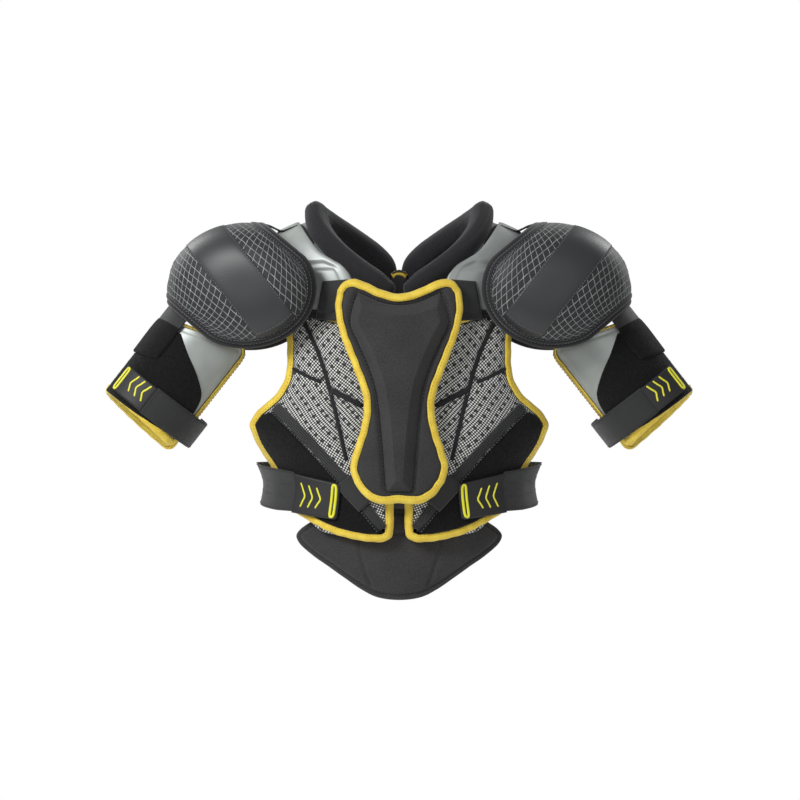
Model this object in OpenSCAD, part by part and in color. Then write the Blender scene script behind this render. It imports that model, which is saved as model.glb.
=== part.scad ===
/* [Torso] */
// Height of the seam between the shoulder arches and the chest panels, below the shoulder seat
seam_drop = 86; // [80:1:92]
// Thickness of the padded chest and back panels
panel_t = 14; // [10:1:14]
// Width of the bias binding around the panels
binding_w = 10; // [8:1:12]

/* [Straps] */
// Width of the waist elastic
waist_w = 50; // [44:1:52]
// Thickness of the elastic webbing
web_t = 2.4; // [1.6:0.1:2.8]

/* [Caps] */
// Height of the centre of a shoulder cap, below the shoulder seat
cap_drop = 58; // [56:1:60]
// Distance of the centre of a shoulder cap from the mid-plane
cap_x = 185; // [184:1:188]
// Half of the front-to-back depth of a shoulder cap
cap_half_depth = 115; // [113:1:118]

/* [Bicep guards] */
// Radius of the bicep guard's inner face
guard_r = 50; // [48:1:52]
// Tilt of the upper arm away from vertical, in degrees
arm_tilt = 38; // [36:1:40]

/* [Collar] */
// Height of the collar roll's section
roll_h = 31; // [28:1:32]
// Thickness of the collar roll's section
roll_t = 22; // [18:1:24]

/* [Hidden] */
gap = 0.4;      // play between neighbouring pieces
SIDES = ["left", "right"];
CENTRE_NODES = [
  "back_panel", "back_binding", "neck_yoke", "spine_pad", "spine_binding", "spine_plate", "chest_web",
  "sternum_pad", "sternum_binding", "sternum_guard", "sternum_plate", "belly_pad"
];
SIDE_NODES = [
  "shoulder_arch", "collar_roll", "upper_sternum_strap", "strap_anchor",
  "chest_panel", "chest_binding", "chest_loop_patch", "lower_sternum_strap",
  "waist_strap", "waist_tab", "waist_slot_frame",
  "cap_cover", "cap_shell", "cap_liner", "cap_rim", "cap_webbing",
  "bicep_guard", "bicep_plate", "bicep_loop_patch", "bicep_binding", "hanger_strap",
  "bicep_strap", "bicep_tab", "bicep_slot_frame"
];

charcoal = "#3f3f40";
black = "#1b1b1c";
yellow = "#e8cb3d";
silver = "#b4b9b6";
mesh_grey = "#8f9291";

// ---------------------------------------------------------------- shared geometry

// Half-width and half-depths of the wearer's torso at height z, to the panels' inner faces
function half_w(z) = lookup(z, [
  [-430, 190], [-360, 172], [-325, 152], [-295, 146], [-272, 153], [-245, 173],
  [-222, 189], [-190, 176], [-160, 163], [-120, 160], [-40, 160]
]);
function front_d(z) = lookup(z, [
  [-430, 100], [-360, 106], [-300, 110], [-200, 108], [-120, 92], [-86, 80], [-40, 70]
]);
function back_d(z) = lookup(z, [
  [-430, 104], [-340, 106], [-260, 98], [-160, 104], [-86, 80], [-30, 66]
]);

// A point on the torso's front or back, off mm outside the panels' inner faces, at height z.
// across is the distance from the mid-plane that the layer ref mm out has there.
function torso_angle(across, z, ref) = asin(max(-0.995, min(0.995, across / (half_w(z) + ref))));
function around(angle, z, off) = [
  (half_w(z) + off) * sin(angle),
  abs(angle) < 90 ? -(front_d(z) + off) * cos(angle) : -(back_d(z) + off) * cos(angle),
  z
];
function on_front(p, off, ref) = around(torso_angle(p.x, p.y, ref), p.y, off);
function on_back(p, off, ref) = let (a = torso_angle(p.x, p.y, ref)) [
  (half_w(p.y) + off) * sin(a), (back_d(p.y) + off) * cos(a), p.y
];

// n + 1 points evenly spaced along a hand-drawn line
function run(path, i = 0) = i == 0 ? 0 : run(path, i - 1) + norm(path[i] - path[i - 1]);
function resample(path, n) =
  let (at = [for (i = [0 : len(path) - 1]) run(path, i)], total = at[len(path) - 1])
  [for (k = [0 : n]) let (
      d = total * k / n,
      j = max([for (i = [0 : len(path) - 2]) at[i] <= d + 0.0001 ? i : 0]),
      f = min(1, (d - at[j]) / (at[j + 1] - at[j]))
    ) path[j] * (1 - f) + path[j + 1] * f];

// The outline of a panel from its top, outer, bottom and inner edges, as one closed loop
function loop_of(top, outer, bottom, inner, nu, nv) = concat(
  [for (i = [0 : nu - 1]) resample(top, nu)[i]],
  [for (i = [0 : nv - 1]) resample(outer, nv)[i]],
  [for (i = [0 : nu - 1]) resample(bottom, nu)[i]],
  [for (i = [0 : nv - 1]) resample(inner, nv)[i]]
);
// The same loop moved inwards by d
function inset(loop, d) = let (n = len(loop)) [for (i = [0 : n - 1]) let (
    t = loop[(i + 1) % n] - loop[(i + n - 1) % n],
    u = t / norm(t)
  ) loop[i] + d * [u.y, -u.x]];
// A grid of points that fills a loop, nu steps across and nv steps down
function fill(loop, nu, nv) = let (
    n = len(loop), top = [for (i = [0 : nu]) loop[i]],
    bottom = [for (i = [0 : nu]) loop[2 * nu + nv - i]],
    outer = [for (j = [0 : nv]) loop[nu + j]],
    inner = [for (j = [0 : nv]) loop[(n - j) % n]]
  ) [for (j = [0 : nv]) let (v = j / nv) [for (i = [0 : nu]) let (u = i / nu)
    (1 - v) * top[i] + v * bottom[i] + (1 - u) * inner[j] + u * outer[j]
    - (1 - u) * (1 - v) * top[0] - u * (1 - v) * top[nu]
    - (1 - u) * v * bottom[0] - u * v * bottom[nu]
  ]];

// Faces wound so that they all look outwards, whichever way round they were made
function outwards(points, faces) = let (
    volume = [for (f = faces) cross(points[f[0]], points[f[1]]) * points[f[2]]] * [for (f = faces) 1]
  ) volume > 0 ? [for (f = faces) [f[2], f[1], f[0]]] : faces;

// A closed solid between an outer and an inner grid of points of the same size
module slab(outer, inner) {
  rows = len(outer);
  cols = len(outer[0]);
  n = rows * cols;
  points = concat([for (r = outer, p = r) p], [for (r = inner, p = r) p]);
  faces = concat(
    [for (j = [0 : rows - 2], i = [0 : cols - 2]) let (a = j * cols + i)
      each [[a, a + 1, a + cols], [a + 1, a + cols + 1, a + cols]]],
    [for (j = [0 : rows - 2], i = [0 : cols - 2]) let (a = n + j * cols + i)
      each [[a, a + cols, a + 1], [a + 1, a + cols, a + cols + 1]]],
    [for (i = [0 : cols - 2]) each [[i, n + i, i + 1], [i + 1, n + i, n + i + 1]]],
    [for (i = [0 : cols - 2]) let (a = (rows - 1) * cols + i)
      each [[a, a + 1, n + a], [a + 1, n + a + 1, n + a]]],
    [for (j = [0 : rows - 2]) let (a = j * cols)
      each [[a, a + cols, n + a], [a + cols, n + a + cols, n + a]]],
    [for (j = [0 : rows - 2]) let (a = j * cols + cols - 1)
      each [[a, n + a, a + cols], [a + cols, n + a, n + a + cols]]]
  );
  polyhedron(points, outwards(points, faces));
}

// A strip through sections of points: closed end to end, or capped at both ends
module strip(sections, closed = false) {
  m = len(sections);
  k = len(sections[0]);
  last = closed ? m - 1 : m - 2;
  points = [for (s = sections, p = s) p];
  side = [for (i = [0 : last], j = [0 : k - 1]) let (
      a = i * k + j, b = i * k + (j + 1) % k,
      c = ((i + 1) % m) * k + j, d = ((i + 1) % m) * k + (j + 1) % k
    ) each [[a, c, b], [b, c, d]]];
  caps = closed ? [] : concat(
    [for (j = [1 : k - 2]) [0, j, j + 1]],
    [for (j = [1 : k - 2]) let (a = (m - 1) * k) [a, a + j + 1, a + j]]
  );
  polyhedron(points, outwards(points, concat(side, caps)));
}

// A node on the wearer's left is drawn at +X, and mirrored for the right
module at_side(side) {
  if (side == "left") children();
  else mirror([1, 0, 0]) children();
}

// Symmetrical pads are drawn from the right half of their outline, top to bottom
function mirrored(path) = [for (i = [len(path) - 1 : -1 : 0]) [-path[i].x, path[i].y]];
module pad(top, outer, bottom, edge, off_in, off_out, ref, back = false, nu = 12, nv = 16) {
  loop = inset(loop_of(concat(mirrored(top), top), outer, concat(bottom, mirrored(bottom)),
    mirrored(outer), nu, nv), edge);
  grid = fill(loop, nu, nv);
  slab(
    [for (r = grid) [for (p = r) back ? on_back(p, off_out, ref) : on_front(p, off_out, ref)]],
    [for (r = grid) [for (p = r) back ? on_back(p, off_in, ref) : on_front(p, off_in, ref)]]
  );
}
module rim_tape(top, outer, bottom, width, off_in, off_out, ref, back = false, nu = 12, nv = 16) {
  loop = loop_of(concat(mirrored(top), top), outer, concat(bottom, mirrored(bottom)),
    mirrored(outer), nu, nv);
  edge = inset(loop, width);
  strip([for (i = [0 : len(loop) - 1]) [
    back ? on_back(loop[i], off_out, ref) : on_front(loop[i], off_out, ref),
    back ? on_back(edge[i], off_out, ref) : on_front(edge[i], off_out, ref),
    back ? on_back(edge[i], off_in, ref) : on_front(edge[i], off_in, ref),
    back ? on_back(loop[i], off_in, ref) : on_front(loop[i], off_in, ref)
  ]], closed = true);
}

// ---------------------------------------------------------------- back

// The back panel hangs from the arches' rear seams and reaches down to the waist
back_top = [[2, -89], [70, -89], [141, -91]];
back_outer = [
  [141, -91], [140, -150], [150, -186], [170, -212], [179, -224], [166, -256], [146, -290], [124, -330]
];
back_bottom = [[124, -330], [70, -346], [2, -350]];

module back_panel() color(charcoal)
  pad(back_top, back_outer, back_bottom, binding_w + gap, 0, panel_t, panel_t, back = true);
module back_binding() color(yellow)
  rim_tape(back_top, back_outer, back_bottom, binding_w, -1, panel_t + 1, panel_t, back = true);

// A padded yoke closes the back of the neck, between the arches and the collar's rear ends
yoke_top = [[1, -31], [9, -34]];
yoke_outer = [[9, -34], [13, -54], [34, -68], [42, -86]];
yoke_bottom = [[42, -86], [1, -87]];
module neck_yoke() color(charcoal)
  pad(yoke_top, yoke_outer, yoke_bottom, 0.01, 1, panel_t, panel_t, back = true, nu = 6, nv = 8);

// The spine pad is a long moulded block on the middle of the back, over a plastic plate
spine_top = [[1, -92], [26, -93], [44, -104]];
spine_outer = [[44, -104], [46, -140], [38, -190], [42, -250], [48, -300], [40, -322]];
spine_bottom = [[40, -322], [22, -332], [1, -334]];
spine_off = panel_t + 3.4;

module spine_plate() color(black)
  pad(spine_top, spine_outer, spine_bottom, 9, panel_t + 0.9, panel_t + 2.6, panel_t, back = true, nv = 14);
module spine_pad() color(charcoal)
  pad(spine_top, spine_outer, spine_bottom, 6 + gap, spine_off, spine_off + 13, panel_t, back = true, nv = 14);
module spine_binding() color(yellow)
  rim_tape(spine_top, spine_outer, spine_bottom, 6, spine_off, spine_off + 9, panel_t, back = true, nv = 14);

// ---------------------------------------------------------------- shoulder arches and collar

// Each arch runs from its front seam over the shoulder to its back seam. Its outer face
// falls from the collar to the arm, and its inner edge follows the foot of the collar.
arch_t = 12;
function arch_top(x) = 17 - 0.45 * (x - 117);
function arch_inner(z) = lookup(z, [
  [-90, 48], [-60, 55], [-43, 65], [-34, 79], [-21, 96], [-1, 110], [16, 119], [26, 124]
]);
function arch_point(u, a, off) = let (
    lift = sin(a),
    guess = arch_inner(-seam_drop + (seam_drop + 22) * lift),
    outer = 141 + 8 * lift,
    x = guess + (outer - guess) * u,
    depth = 80 * cos(asin(x / 174)) + off
  ) [x, -depth * cos(a), -seam_drop + (seam_drop + arch_top(x) + off) * lift];
module shoulder_arch(side) at_side(side) color(silver) {
  steps = [for (a = [0 : 9 : 180]) a];
  slab(
    [for (a = steps) [for (u = [0 : 0.2 : 1]) arch_point(u, a, arch_t)]],
    [for (a = steps) [for (u = [0 : 0.2 : 1]) arch_point(u, a, 0)]]
  );
}

// A collar roll climbs from the front notch to the side of the neck, and falls to the back notch.
// It leans outwards, and it thins towards both ends.
function roll_height(a) = a < 90 ? -70 + 1.18 * a : 36 - 0.0092 * pow(a - 90, 2);
function roll_centre(a) = [101 * sin(a), -84 * cos(a), roll_height(a)];
function unit(v) = v / norm(v);
function roll_section(a) = let (
    c = roll_centre(a),
    along = unit(roll_centre(a + 0.5) - roll_centre(a - 0.5)),
    flat = [sin(a), -cos(a), 0],
    out = unit(flat - along * (flat * along)),
    rise = unit(cross(out, along)) * (cross(out, along).z < 0 ? -1 : 1),
    lean = 10 + 20 * sin(a),
    taper = min(1, 0.6 + 0.4 * min(a - 4, 170 - a) / 12)
  ) [for (k = [0 : 11]) let (
      t = 30 * k, across = roll_t / 2 * taper * cos(t), up = roll_h / 2 * taper * sin(t)
    ) c + out * (across * cos(lean) + up * sin(lean)) + rise * (up * cos(lean) - across * sin(lean))];
module collar_roll(side) at_side(side) color(black)
  strip([for (a = [4 : 4.15 : 170.1]) [for (k = [11 : -1 : 0]) roll_section(a)[k]]]);

module patch(top_left, top_right, low_left, low_right, off_in, off_out, nu = 4, nv = 4) {
  grid = [for (j = [0 : nv]) let (v = j / nv) [for (i = [0 : nu]) let (u = i / nu)
    (1 - v) * ((1 - u) * top_left + u * top_right) + v * ((1 - u) * low_left + u * low_right)]];
  slab(
    [for (r = grid) [for (p = r) on_front(p, off_out, off_out)]],
    [for (r = grid) [for (p = r) on_front(p, off_in, off_out)]]
  );
}

// Short elastics hold the sternum pad's horns and its lower lobe
function on_arch(x, z, off) = let (
    lift = (z + seam_drop) / (seam_drop + arch_top(x) + off)
  ) [x, -(80 * cos(asin(x / 174)) + off) * cos(asin(lift)), z];
module upper_sternum_strap(side) at_side(side) color(black) {
  spots = [for (v = [0 : 0.25 : 1]) [for (u = [0 : 0.25 : 1]) [62 + 28 * u + 5 * v, -48 - 36 * v]]];
  slab([for (r = spots) [for (p = r) on_arch(p.x, p.y, arch_t + 2.6)]],
    [for (r = spots) [for (p = r) on_arch(p.x, p.y, arch_t + 0.9)]]);
}
module lower_sternum_strap(side) at_side(side) color(black)
  patch([40, -270], [63, -287], [30, -300], [45, -326], panel_t + 3.2, panel_t + 5, nu = 6, nv = 6);

// ---------------------------------------------------------------- chest panels

chest_top = [[7, -104], [60, -97], [80, -97], [107, -88.5], [141, -88.5]];
chest_outer = [
  [141, -88.5], [140, -158], [144, -173], [154, -187], [172, -202], [182, -215], [184, -222],
  [177, -244], [158, -275], [140, -306], [126, -329]
];
chest_bottom = [[126, -329], [108, -339], [81, -352], [53, -359], [33, -361.5], [14, -360], [7, -350]];
chest_inner = [[7, -350], [7, -104]];
chest_nu = 9;
chest_nv = 16;
chest_loop = loop_of(chest_top, chest_outer, chest_bottom, chest_inner, chest_nu, chest_nv);

module chest_panel(side) at_side(side) color(mesh_grey) {
  grid = fill(inset(chest_loop, binding_w + gap), chest_nu, chest_nv);
  slab(
    [for (r = grid) [for (p = r) on_front(p, panel_t, panel_t)]],
    [for (r = grid) [for (p = r) on_front(p, 0, panel_t)]]
  );
}
module chest_binding(side) at_side(side) color(yellow) {
  edge = inset(chest_loop, binding_w);
  strip([for (i = [0 : len(chest_loop) - 1]) [
    on_front(chest_loop[i], panel_t + 1, panel_t), on_front(edge[i], panel_t + 1, panel_t),
    on_front(edge[i], -1, panel_t), on_front(chest_loop[i], -1, panel_t)
  ]], closed = true);
}
module chest_loop_patch(side) at_side(side) color(black)
  patch([60, -282], [143, -200], [22, -347], [112, -324], panel_t + 1.3, panel_t + 2.6, nu = 8, nv = 8);
// An elastic web joins the two chest panels behind the sternum pad
module chest_web() color(black)
  patch([-34, -120], [34, -120], [-34, -290], [34, -290], panel_t + 1.8, panel_t + 3, nu = 8, nv = 10);

// ---------------------------------------------------------------- sternum pad

sternum_top = [[1, -65], [22, -60], [42, -51], [56, -47], [68, -50], [76, -60]];
sternum_outer = [
  [76, -60], [78, -78], [77, -94], [72, -114], [63, -137], [53, -162], [45, -184], [43, -203],
  [47, -227], [56, -255], [60, -273], [55, -291]
];
sternum_bottom = [[55, -291], [42, -307], [24, -316], [1, -318]];
sternum_in = panel_t + 6;
sternum_t = 13;
sternum_ref = sternum_in + sternum_t;

module sternum_pad() color(charcoal)
  pad(sternum_top, sternum_outer, sternum_bottom, binding_w + gap, sternum_in + 3.2, sternum_in + sternum_t,
    sternum_ref, nv = 22);
module sternum_binding() color(yellow)
  rim_tape(sternum_top, sternum_outer, sternum_bottom, binding_w, sternum_in + 1, sternum_in + sternum_t - 1,
    sternum_ref, nv = 22);
module sternum_plate() color(black)
  pad(sternum_top, sternum_outer, sternum_bottom, binding_w + 4, sternum_in + gap, sternum_in + 2.4,
    sternum_ref, nv = 22);
// The raised guard is a long tapering shape, widest near the horns
guard_top = [[1, -80], [24, -78], [46, -75]];
guard_outer = [[46, -75], [54, -101], [40, -134], [23, -192], [17, -260], [16, -300]];
guard_bottom = [[16, -300], [1, -301]];
module sternum_guard() color(charcoal)
  pad(guard_top, guard_outer, guard_bottom, 0.01, sternum_in + sternum_t + 0.9, sternum_in + sternum_t + 7,
    sternum_ref, nu = 8, nv = 18);

// ---------------------------------------------------------------- belly pad

belly_top = [[1, -322], [60, -322], [104, -334]];
belly_outer = [[104, -334], [124, -347], [129, -354], [126, -364], [107, -380], [90, -391]];
belly_bottom = [[90, -391], [68, -406], [48, -419], [28, -430], [1, -433]];

module belly_pad() color(charcoal)
  pad(belly_top, belly_outer, belly_bottom, 0.01, -13, -1.6, 0, nu = 16, nv = 8);

// ---------------------------------------------------------------- waist straps

// Each strap is sewn to the back panel's wing, runs round the side and ends in a moulded tab
strap_off = panel_t + 4;
strap_rear = 122;
strap_front = 49;
tab_front = 26.3;
function strap_mid(a) = -293 - 14 * max(0, (90 - a) / 64);
function strap_grid(a0, a1, n, half, off) = [for (i = [0 : n]) let (a = a0 + (a1 - a0) * i / n)
  [for (v = [1 : -0.5 : -1]) around(a, strap_mid(a) + half * v, off)]];

module waist_strap(side) at_side(side) color(black)
  slab(strap_grid(strap_front, strap_rear, 18, waist_w / 2, strap_off + web_t),
    strap_grid(strap_front, strap_rear, 18, waist_w / 2, strap_off));
module waist_tab(side) at_side(side) color(black)
  slab(strap_grid(tab_front + 2.8, strap_front - 0.3, 8, 21.5, strap_off + 3),
    strap_grid(tab_front + 2.8, strap_front - 0.3, 8, 21.5, strap_off - 0.6));
module waist_slot_frame(side) at_side(side) color(yellow)
  slab(strap_grid(tab_front, tab_front + 2.5, 2, 21, strap_off + 3.6),
    strap_grid(tab_front, tab_front + 2.5, 2, 21, strap_off - 0.6));
module strap_anchor(side) at_side(side) color(black)
  slab(strap_grid(strap_rear + 0.8, strap_rear + 15, 5, waist_w / 2 + 4, strap_off + web_t),
    strap_grid(strap_rear + 0.8, strap_rear + 15, 5, waist_w / 2 + 4, panel_t + 2));

// ---------------------------------------------------------------- shoulder caps

// A cap is a superellipsoid dome whose front and back lobes meet over its upper outer side.
// across and along are coordinates in its oval front outline: along points up and outwards.
cap_half_w = 98;
cap_half_h = 82;
cap_deepen = 0.22;
function cap_point(across, along, front, inset_by) = let (
    px = (across * -cos(45) + along * cos(45)),
    pz = (across * cos(45) + along * cos(45)),
    r = min(1, norm([px, pz])),
    y = pow(1 - pow(r, 3), 1 / 3) * (1 - cap_deepen * px)
  ) [
    cap_x + px * (cap_half_w - inset_by),
    -front * y * (cap_half_depth - inset_by),
    -cap_drop + pz * (cap_half_h - inset_by)
  ];
// A line over the dome at one place across it, from the front rim to the back rim
function cap_line(across, rim, inset_by, n) = let (
    start = -sqrt(rim * rim - across * across), end = sqrt(1 - across * across)
  ) [for (i = [-n : n]) let (t = 1 - abs(i) / n, ease = 1 - pow(1 - t, 2.6))
    cap_point(across, start + (end - start) * ease, i < 0 ? 1 : -1, inset_by)];
module cap_layer(edge, rim, out, in, rows = 10, n = 9)
  slab(
    [for (j = [0 : rows]) cap_line(edge * (2 * j / rows - 1), rim, out, n)],
    [for (j = [0 : rows]) cap_line(edge * (2 * j / rows - 1), rim, in, n)]
  );
cap_rim_o = 0.88;
cap_rim_i = 0.76;
cap_edge_o = 0.85;
cap_edge_i = 0.735;

module cap_cover(side) at_side(side) color(black) cap_layer(cap_edge_i, cap_rim_i, 0, 4);
module cap_shell(side) at_side(side) color("#2a2a2c") cap_layer(cap_edge_i, cap_rim_i, 4.6, 7);
module cap_liner(side) at_side(side) color(charcoal) cap_layer(cap_edge_i, cap_rim_i, 7.6, 10);

// The rim is a doubled, stitched roll all round the dome's edge
function cap_loop(edge, rim, inset_by) = concat(
  [for (i = [0 : 11]) let (across = edge * cos(15 * i))
    cap_point(across, -sqrt(rim * rim - across * across), 1, inset_by)],
  [for (i = [0 : 11]) let (end = sqrt(1 - edge * edge), start = -sqrt(rim * rim - edge * edge))
    cap_point(-edge, start + (end - start) * (1 - pow(abs(1 - i / 6), 2)), i < 6 ? 1 : -1, inset_by)],
  [for (i = [0 : 11]) let (across = -edge * cos(15 * i))
    cap_point(across, -sqrt(rim * rim - across * across), -1, inset_by)],
  [for (i = [0 : 11]) let (end = sqrt(1 - edge * edge), start = -sqrt(rim * rim - edge * edge))
    cap_point(edge, start + (end - start) * (1 - pow(abs(1 - i / 6), 2)), i < 6 ? -1 : 1, inset_by)]
);
module cap_rim(side) at_side(side) color(black) {
  oo = cap_loop(cap_edge_o, cap_rim_o, 0);
  oi = cap_loop(cap_edge_o, cap_rim_o, 9);
  io = cap_loop(cap_edge_i + 0.012, cap_rim_i + 0.012, 0);
  ii = cap_loop(cap_edge_i + 0.012, cap_rim_i + 0.012, 9);
  strip([for (i = [0 : len(oo) - 1]) [oo[i], io[i], ii[i], oi[i]]], closed = true);
}
// A webbing tongue joins the cap's upper edge to the arch
module cap_webbing(side) at_side(side) color(black) {
  line = [[152, 19.6], [160, 22.5], [168, 24.5], [176, 25.8]];
  slab(
    [for (p = line) [for (y = [-21 : 7 : 21]) [p.x, y, p.y + web_t + 1.2]]],
    [for (p = line) [for (y = [-21 : 7 : 21]) [p.x, y, p.y + 1.2]]]
  );
}

// ---------------------------------------------------------------- bicep guards

// A guard is an open cuff around the tilted upper arm. around_arm is 0 on the outer side,
// 90 in front and 180 against the torso; down is measured along the arm from the shoulder.
arm_top = [195, 0, -67];
arm_dir = [sin(arm_tilt), 0, -cos(arm_tilt)];
arm_out = [cos(arm_tilt), 0, sin(arm_tilt)];
guard_t = 9;
guard_wrap = 148;
function arm_point(around_arm, down, r) = arm_top + arm_dir * down
  + arm_out * (r + 1) * cos(around_arm) + [0, -(r - 1) * sin(around_arm), 0];
function guard_top(a) = 55 + 20 * cos(a) + (a < 0 ? 4 * sin(-a) : 0);
function guard_low(a) = 196 - 4 * cos(a) - 6 * sin(a);
function cuff_grid(a0, a1, n, margin, r, rows) = [for (i = [0 : n]) let (a = a0 + (a1 - a0) * i / n)
  [for (j = [0 : rows]) let (v = j / rows)
    arm_point(a, (guard_top(a) + margin) * (1 - v) + (guard_low(a) - margin) * v, r)]];
module cuff(a0, a1, n, margin, r_in, r_out, rows = 5)
  slab(cuff_grid(a0, a1, n, margin, r_out, rows), cuff_grid(a0, a1, n, margin, r_in, rows));

module bicep_guard(side) at_side(side) color(silver)
  cuff(-guard_wrap + 6, guard_wrap - 6, 20, 6, guard_r + 2, guard_r + guard_t);
// The plate is a curved plastic insert inside the guard's lining
module bicep_plate(side) at_side(side) color("#2a2a2c")
  cuff(-60, 60, 10, 16, guard_r - 0.5, guard_r + 1.5, rows = 3);
// The binding's path round the guard's edge: [around the arm, share of the way down]
function guard_edge(i) =
  i < 12 ? [-guard_wrap + 2 * guard_wrap * i / 12, 1] :
  i < 18 ? [guard_wrap, 1 - (i - 12) / 6] :
  i < 30 ? [guard_wrap - 2 * guard_wrap * (i - 18) / 12, 0] : [-guard_wrap, (i - 30) / 6];
function guard_edge_in(i) = let (e = guard_edge(i)) [
  max(-guard_wrap + 5.6, min(guard_wrap - 5.6, e.x)), e.y
];
function guard_at(e, margin, r) = arm_point(e.x,
  (guard_top(e.x) + margin) * (1 - e.y) + (guard_low(e.x) - margin) * e.y, r);
module bicep_binding(side) at_side(side) color(yellow)
  strip([for (i = [0 : 35]) [
    guard_at(guard_edge(i), 0, guard_r + guard_t + 0.6),
    guard_at(guard_edge_in(i), 5.6, guard_r + guard_t + 0.6),
    guard_at(guard_edge_in(i), 5.6, guard_r + 1.4), guard_at(guard_edge(i), 0, guard_r + 1.4)
  ]], closed = true);

// A thin sheet wrapped on the guard between four corners, each [around the arm, down it]
function between(c, u, v) = (1 - v) * ((1 - u) * c[0] + u * c[1]) + v * ((1 - u) * c[2] + u * c[3]);
function sheet_grid(c, r, nu, nv) = [for (i = [0 : nu]) [for (j = [0 : nv])
  let (p = between(c, i / nu, j / nv)) arm_point(p.x, p.y, r)]];
module bicep_sheet(corners, r_in, r_out, nu = 6, nv = 4)
  slab(sheet_grid(corners, r_out, nu, nv), sheet_grid(corners, r_in, nu, nv));
face = guard_r + guard_t;
module bicep_loop_patch(side) at_side(side) color(black)
  bicep_sheet([[18, 86], [92, 72], [18, 184], [118, 184]], face + 0.9, face + 2.2, nu = 10, nv = 4);
module hanger_strap(side) at_side(side) color(black)
  bicep_sheet([[12, 76], [44, 70], [26, 112], [64, 106]], face + 2.7, face + 2.7 + web_t);
// The elastic leaves the guard's back edge, passes inside the arm and ends in a tab in front
module bicep_strap(side) at_side(side) color(black)
  bicep_sheet([[84, 146], [214, 146], [84, 183], [214, 183]], face + 2.7, face + 2.7 + web_t, nu = 14);
module bicep_tab(side) at_side(side) color(black)
  bicep_sheet([[44, 147], [83.4, 147], [44, 182], [83.4, 182]], face + 2.7, face + 2.7 + 3);
module bicep_slot_frame(side) at_side(side) color(yellow)
  bicep_sheet([[37, 148], [43.5, 148], [37, 181], [43.5, 181]], face + 2.7, face + 2.7 + 3.4, nu = 2);

// ---------------------------------------------------------------- the nodes

back_panel();
back_binding();
neck_yoke();
spine_pad();
spine_binding();
spine_plate();
chest_web();
sternum_pad();
sternum_binding();
sternum_guard();
sternum_plate();
belly_pad();
for (s = SIDES) {
  shoulder_arch(s);
  collar_roll(s);
  upper_sternum_strap(s);
  strap_anchor(s);
  chest_panel(s);
  chest_binding(s);
  chest_loop_patch(s);
  lower_sternum_strap(s);
  waist_strap(s);
  waist_tab(s);
  waist_slot_frame(s);
  cap_cover(s);
  cap_shell(s);
  cap_liner(s);
  cap_rim(s);
  cap_webbing(s);
  bicep_guard(s);
  bicep_plate(s);
  bicep_loop_patch(s);
  bicep_binding(s);
  hanger_strap(s);
  bicep_strap(s);
  bicep_tab(s);
  bicep_slot_frame(s);
}
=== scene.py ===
"""Ice hockey shoulder pads: the finished look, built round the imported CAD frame."""

import math

import bmesh
import bpy
import numpy as np
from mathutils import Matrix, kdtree


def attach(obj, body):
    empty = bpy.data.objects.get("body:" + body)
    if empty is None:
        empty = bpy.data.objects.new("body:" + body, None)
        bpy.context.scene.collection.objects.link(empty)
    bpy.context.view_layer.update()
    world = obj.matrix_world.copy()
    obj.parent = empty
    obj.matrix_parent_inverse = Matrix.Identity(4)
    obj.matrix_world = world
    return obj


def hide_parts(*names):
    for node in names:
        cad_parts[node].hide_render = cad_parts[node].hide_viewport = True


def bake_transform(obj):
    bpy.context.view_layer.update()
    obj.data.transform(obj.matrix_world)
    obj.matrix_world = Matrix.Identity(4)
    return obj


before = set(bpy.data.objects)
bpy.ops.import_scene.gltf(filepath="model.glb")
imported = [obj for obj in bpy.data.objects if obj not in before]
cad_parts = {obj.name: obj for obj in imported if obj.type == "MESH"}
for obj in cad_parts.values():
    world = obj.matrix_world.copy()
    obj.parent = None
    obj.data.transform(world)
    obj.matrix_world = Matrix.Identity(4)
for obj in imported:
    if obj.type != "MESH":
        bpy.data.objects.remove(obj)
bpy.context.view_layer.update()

# ---------------------------------------------------------------- the studio
# A pale room with one large soft key light, a fill and two rim lights, and a long lens in front.
# The camera stands level with the chest, far enough back that the pads hardly show perspective.
MM = 0.001


def linear(code):
    """An sRGB hex colour as the linear values that Blender works in."""
    parts = [int(code[i:i + 2], 16) / 255 for i in (1, 3, 5)]
    return [p / 12.92 if p <= 0.04045 else ((p + 0.055) / 1.055) ** 2.4 for p in parts] + [1.0]


def add(tree, kind, settings=None, links=None):
    """Adds a shader node, sets its properties, and fills its inputs from values, sockets or nodes."""
    made = tree.nodes.new("ShaderNode" + kind)
    for name, value in (settings or {}).items():
        setattr(made, name, value)
    for name, value in (links or {}).items():
        if isinstance(value, bpy.types.Node):
            value = value.outputs[0]
        if isinstance(value, bpy.types.NodeSocket):
            tree.links.new(value, made.inputs[name])
        else:
            made.inputs[name].default_value = value
    return made


view_width = 0.96
camera_distance = 4.9
sight = (0.001, -0.09, -0.192)
camera_data = bpy.data.cameras.new("camera")
camera_data.sensor_width = 36
camera_data.lens = camera_data.sensor_width * camera_distance / view_width
camera = bpy.data.objects.new("camera", camera_data)
camera.location = (sight[0], sight[1] - camera_distance, sight[2])
camera.rotation_euler = (math.radians(90), 0, 0)
bpy.context.collection.objects.link(camera)
bpy.context.scene.camera = camera
bpy.context.scene.view_settings.view_transform = "Standard"

world = bpy.data.worlds.new("studio")
world.use_nodes = True
sky = world.node_tree.nodes["Background"]
sky.inputs["Color"].default_value = linear("#ffffff")
seen = add(world.node_tree, "LightPath")
glow = add(world.node_tree, "MapRange", None, {"Value": seen.outputs["Is Camera Ray"], "To Min": 0.34,
                                               "To Max": 1.0})
world.node_tree.links.new(glow.outputs["Result"], sky.inputs["Strength"])
bpy.context.scene.world = world

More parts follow.
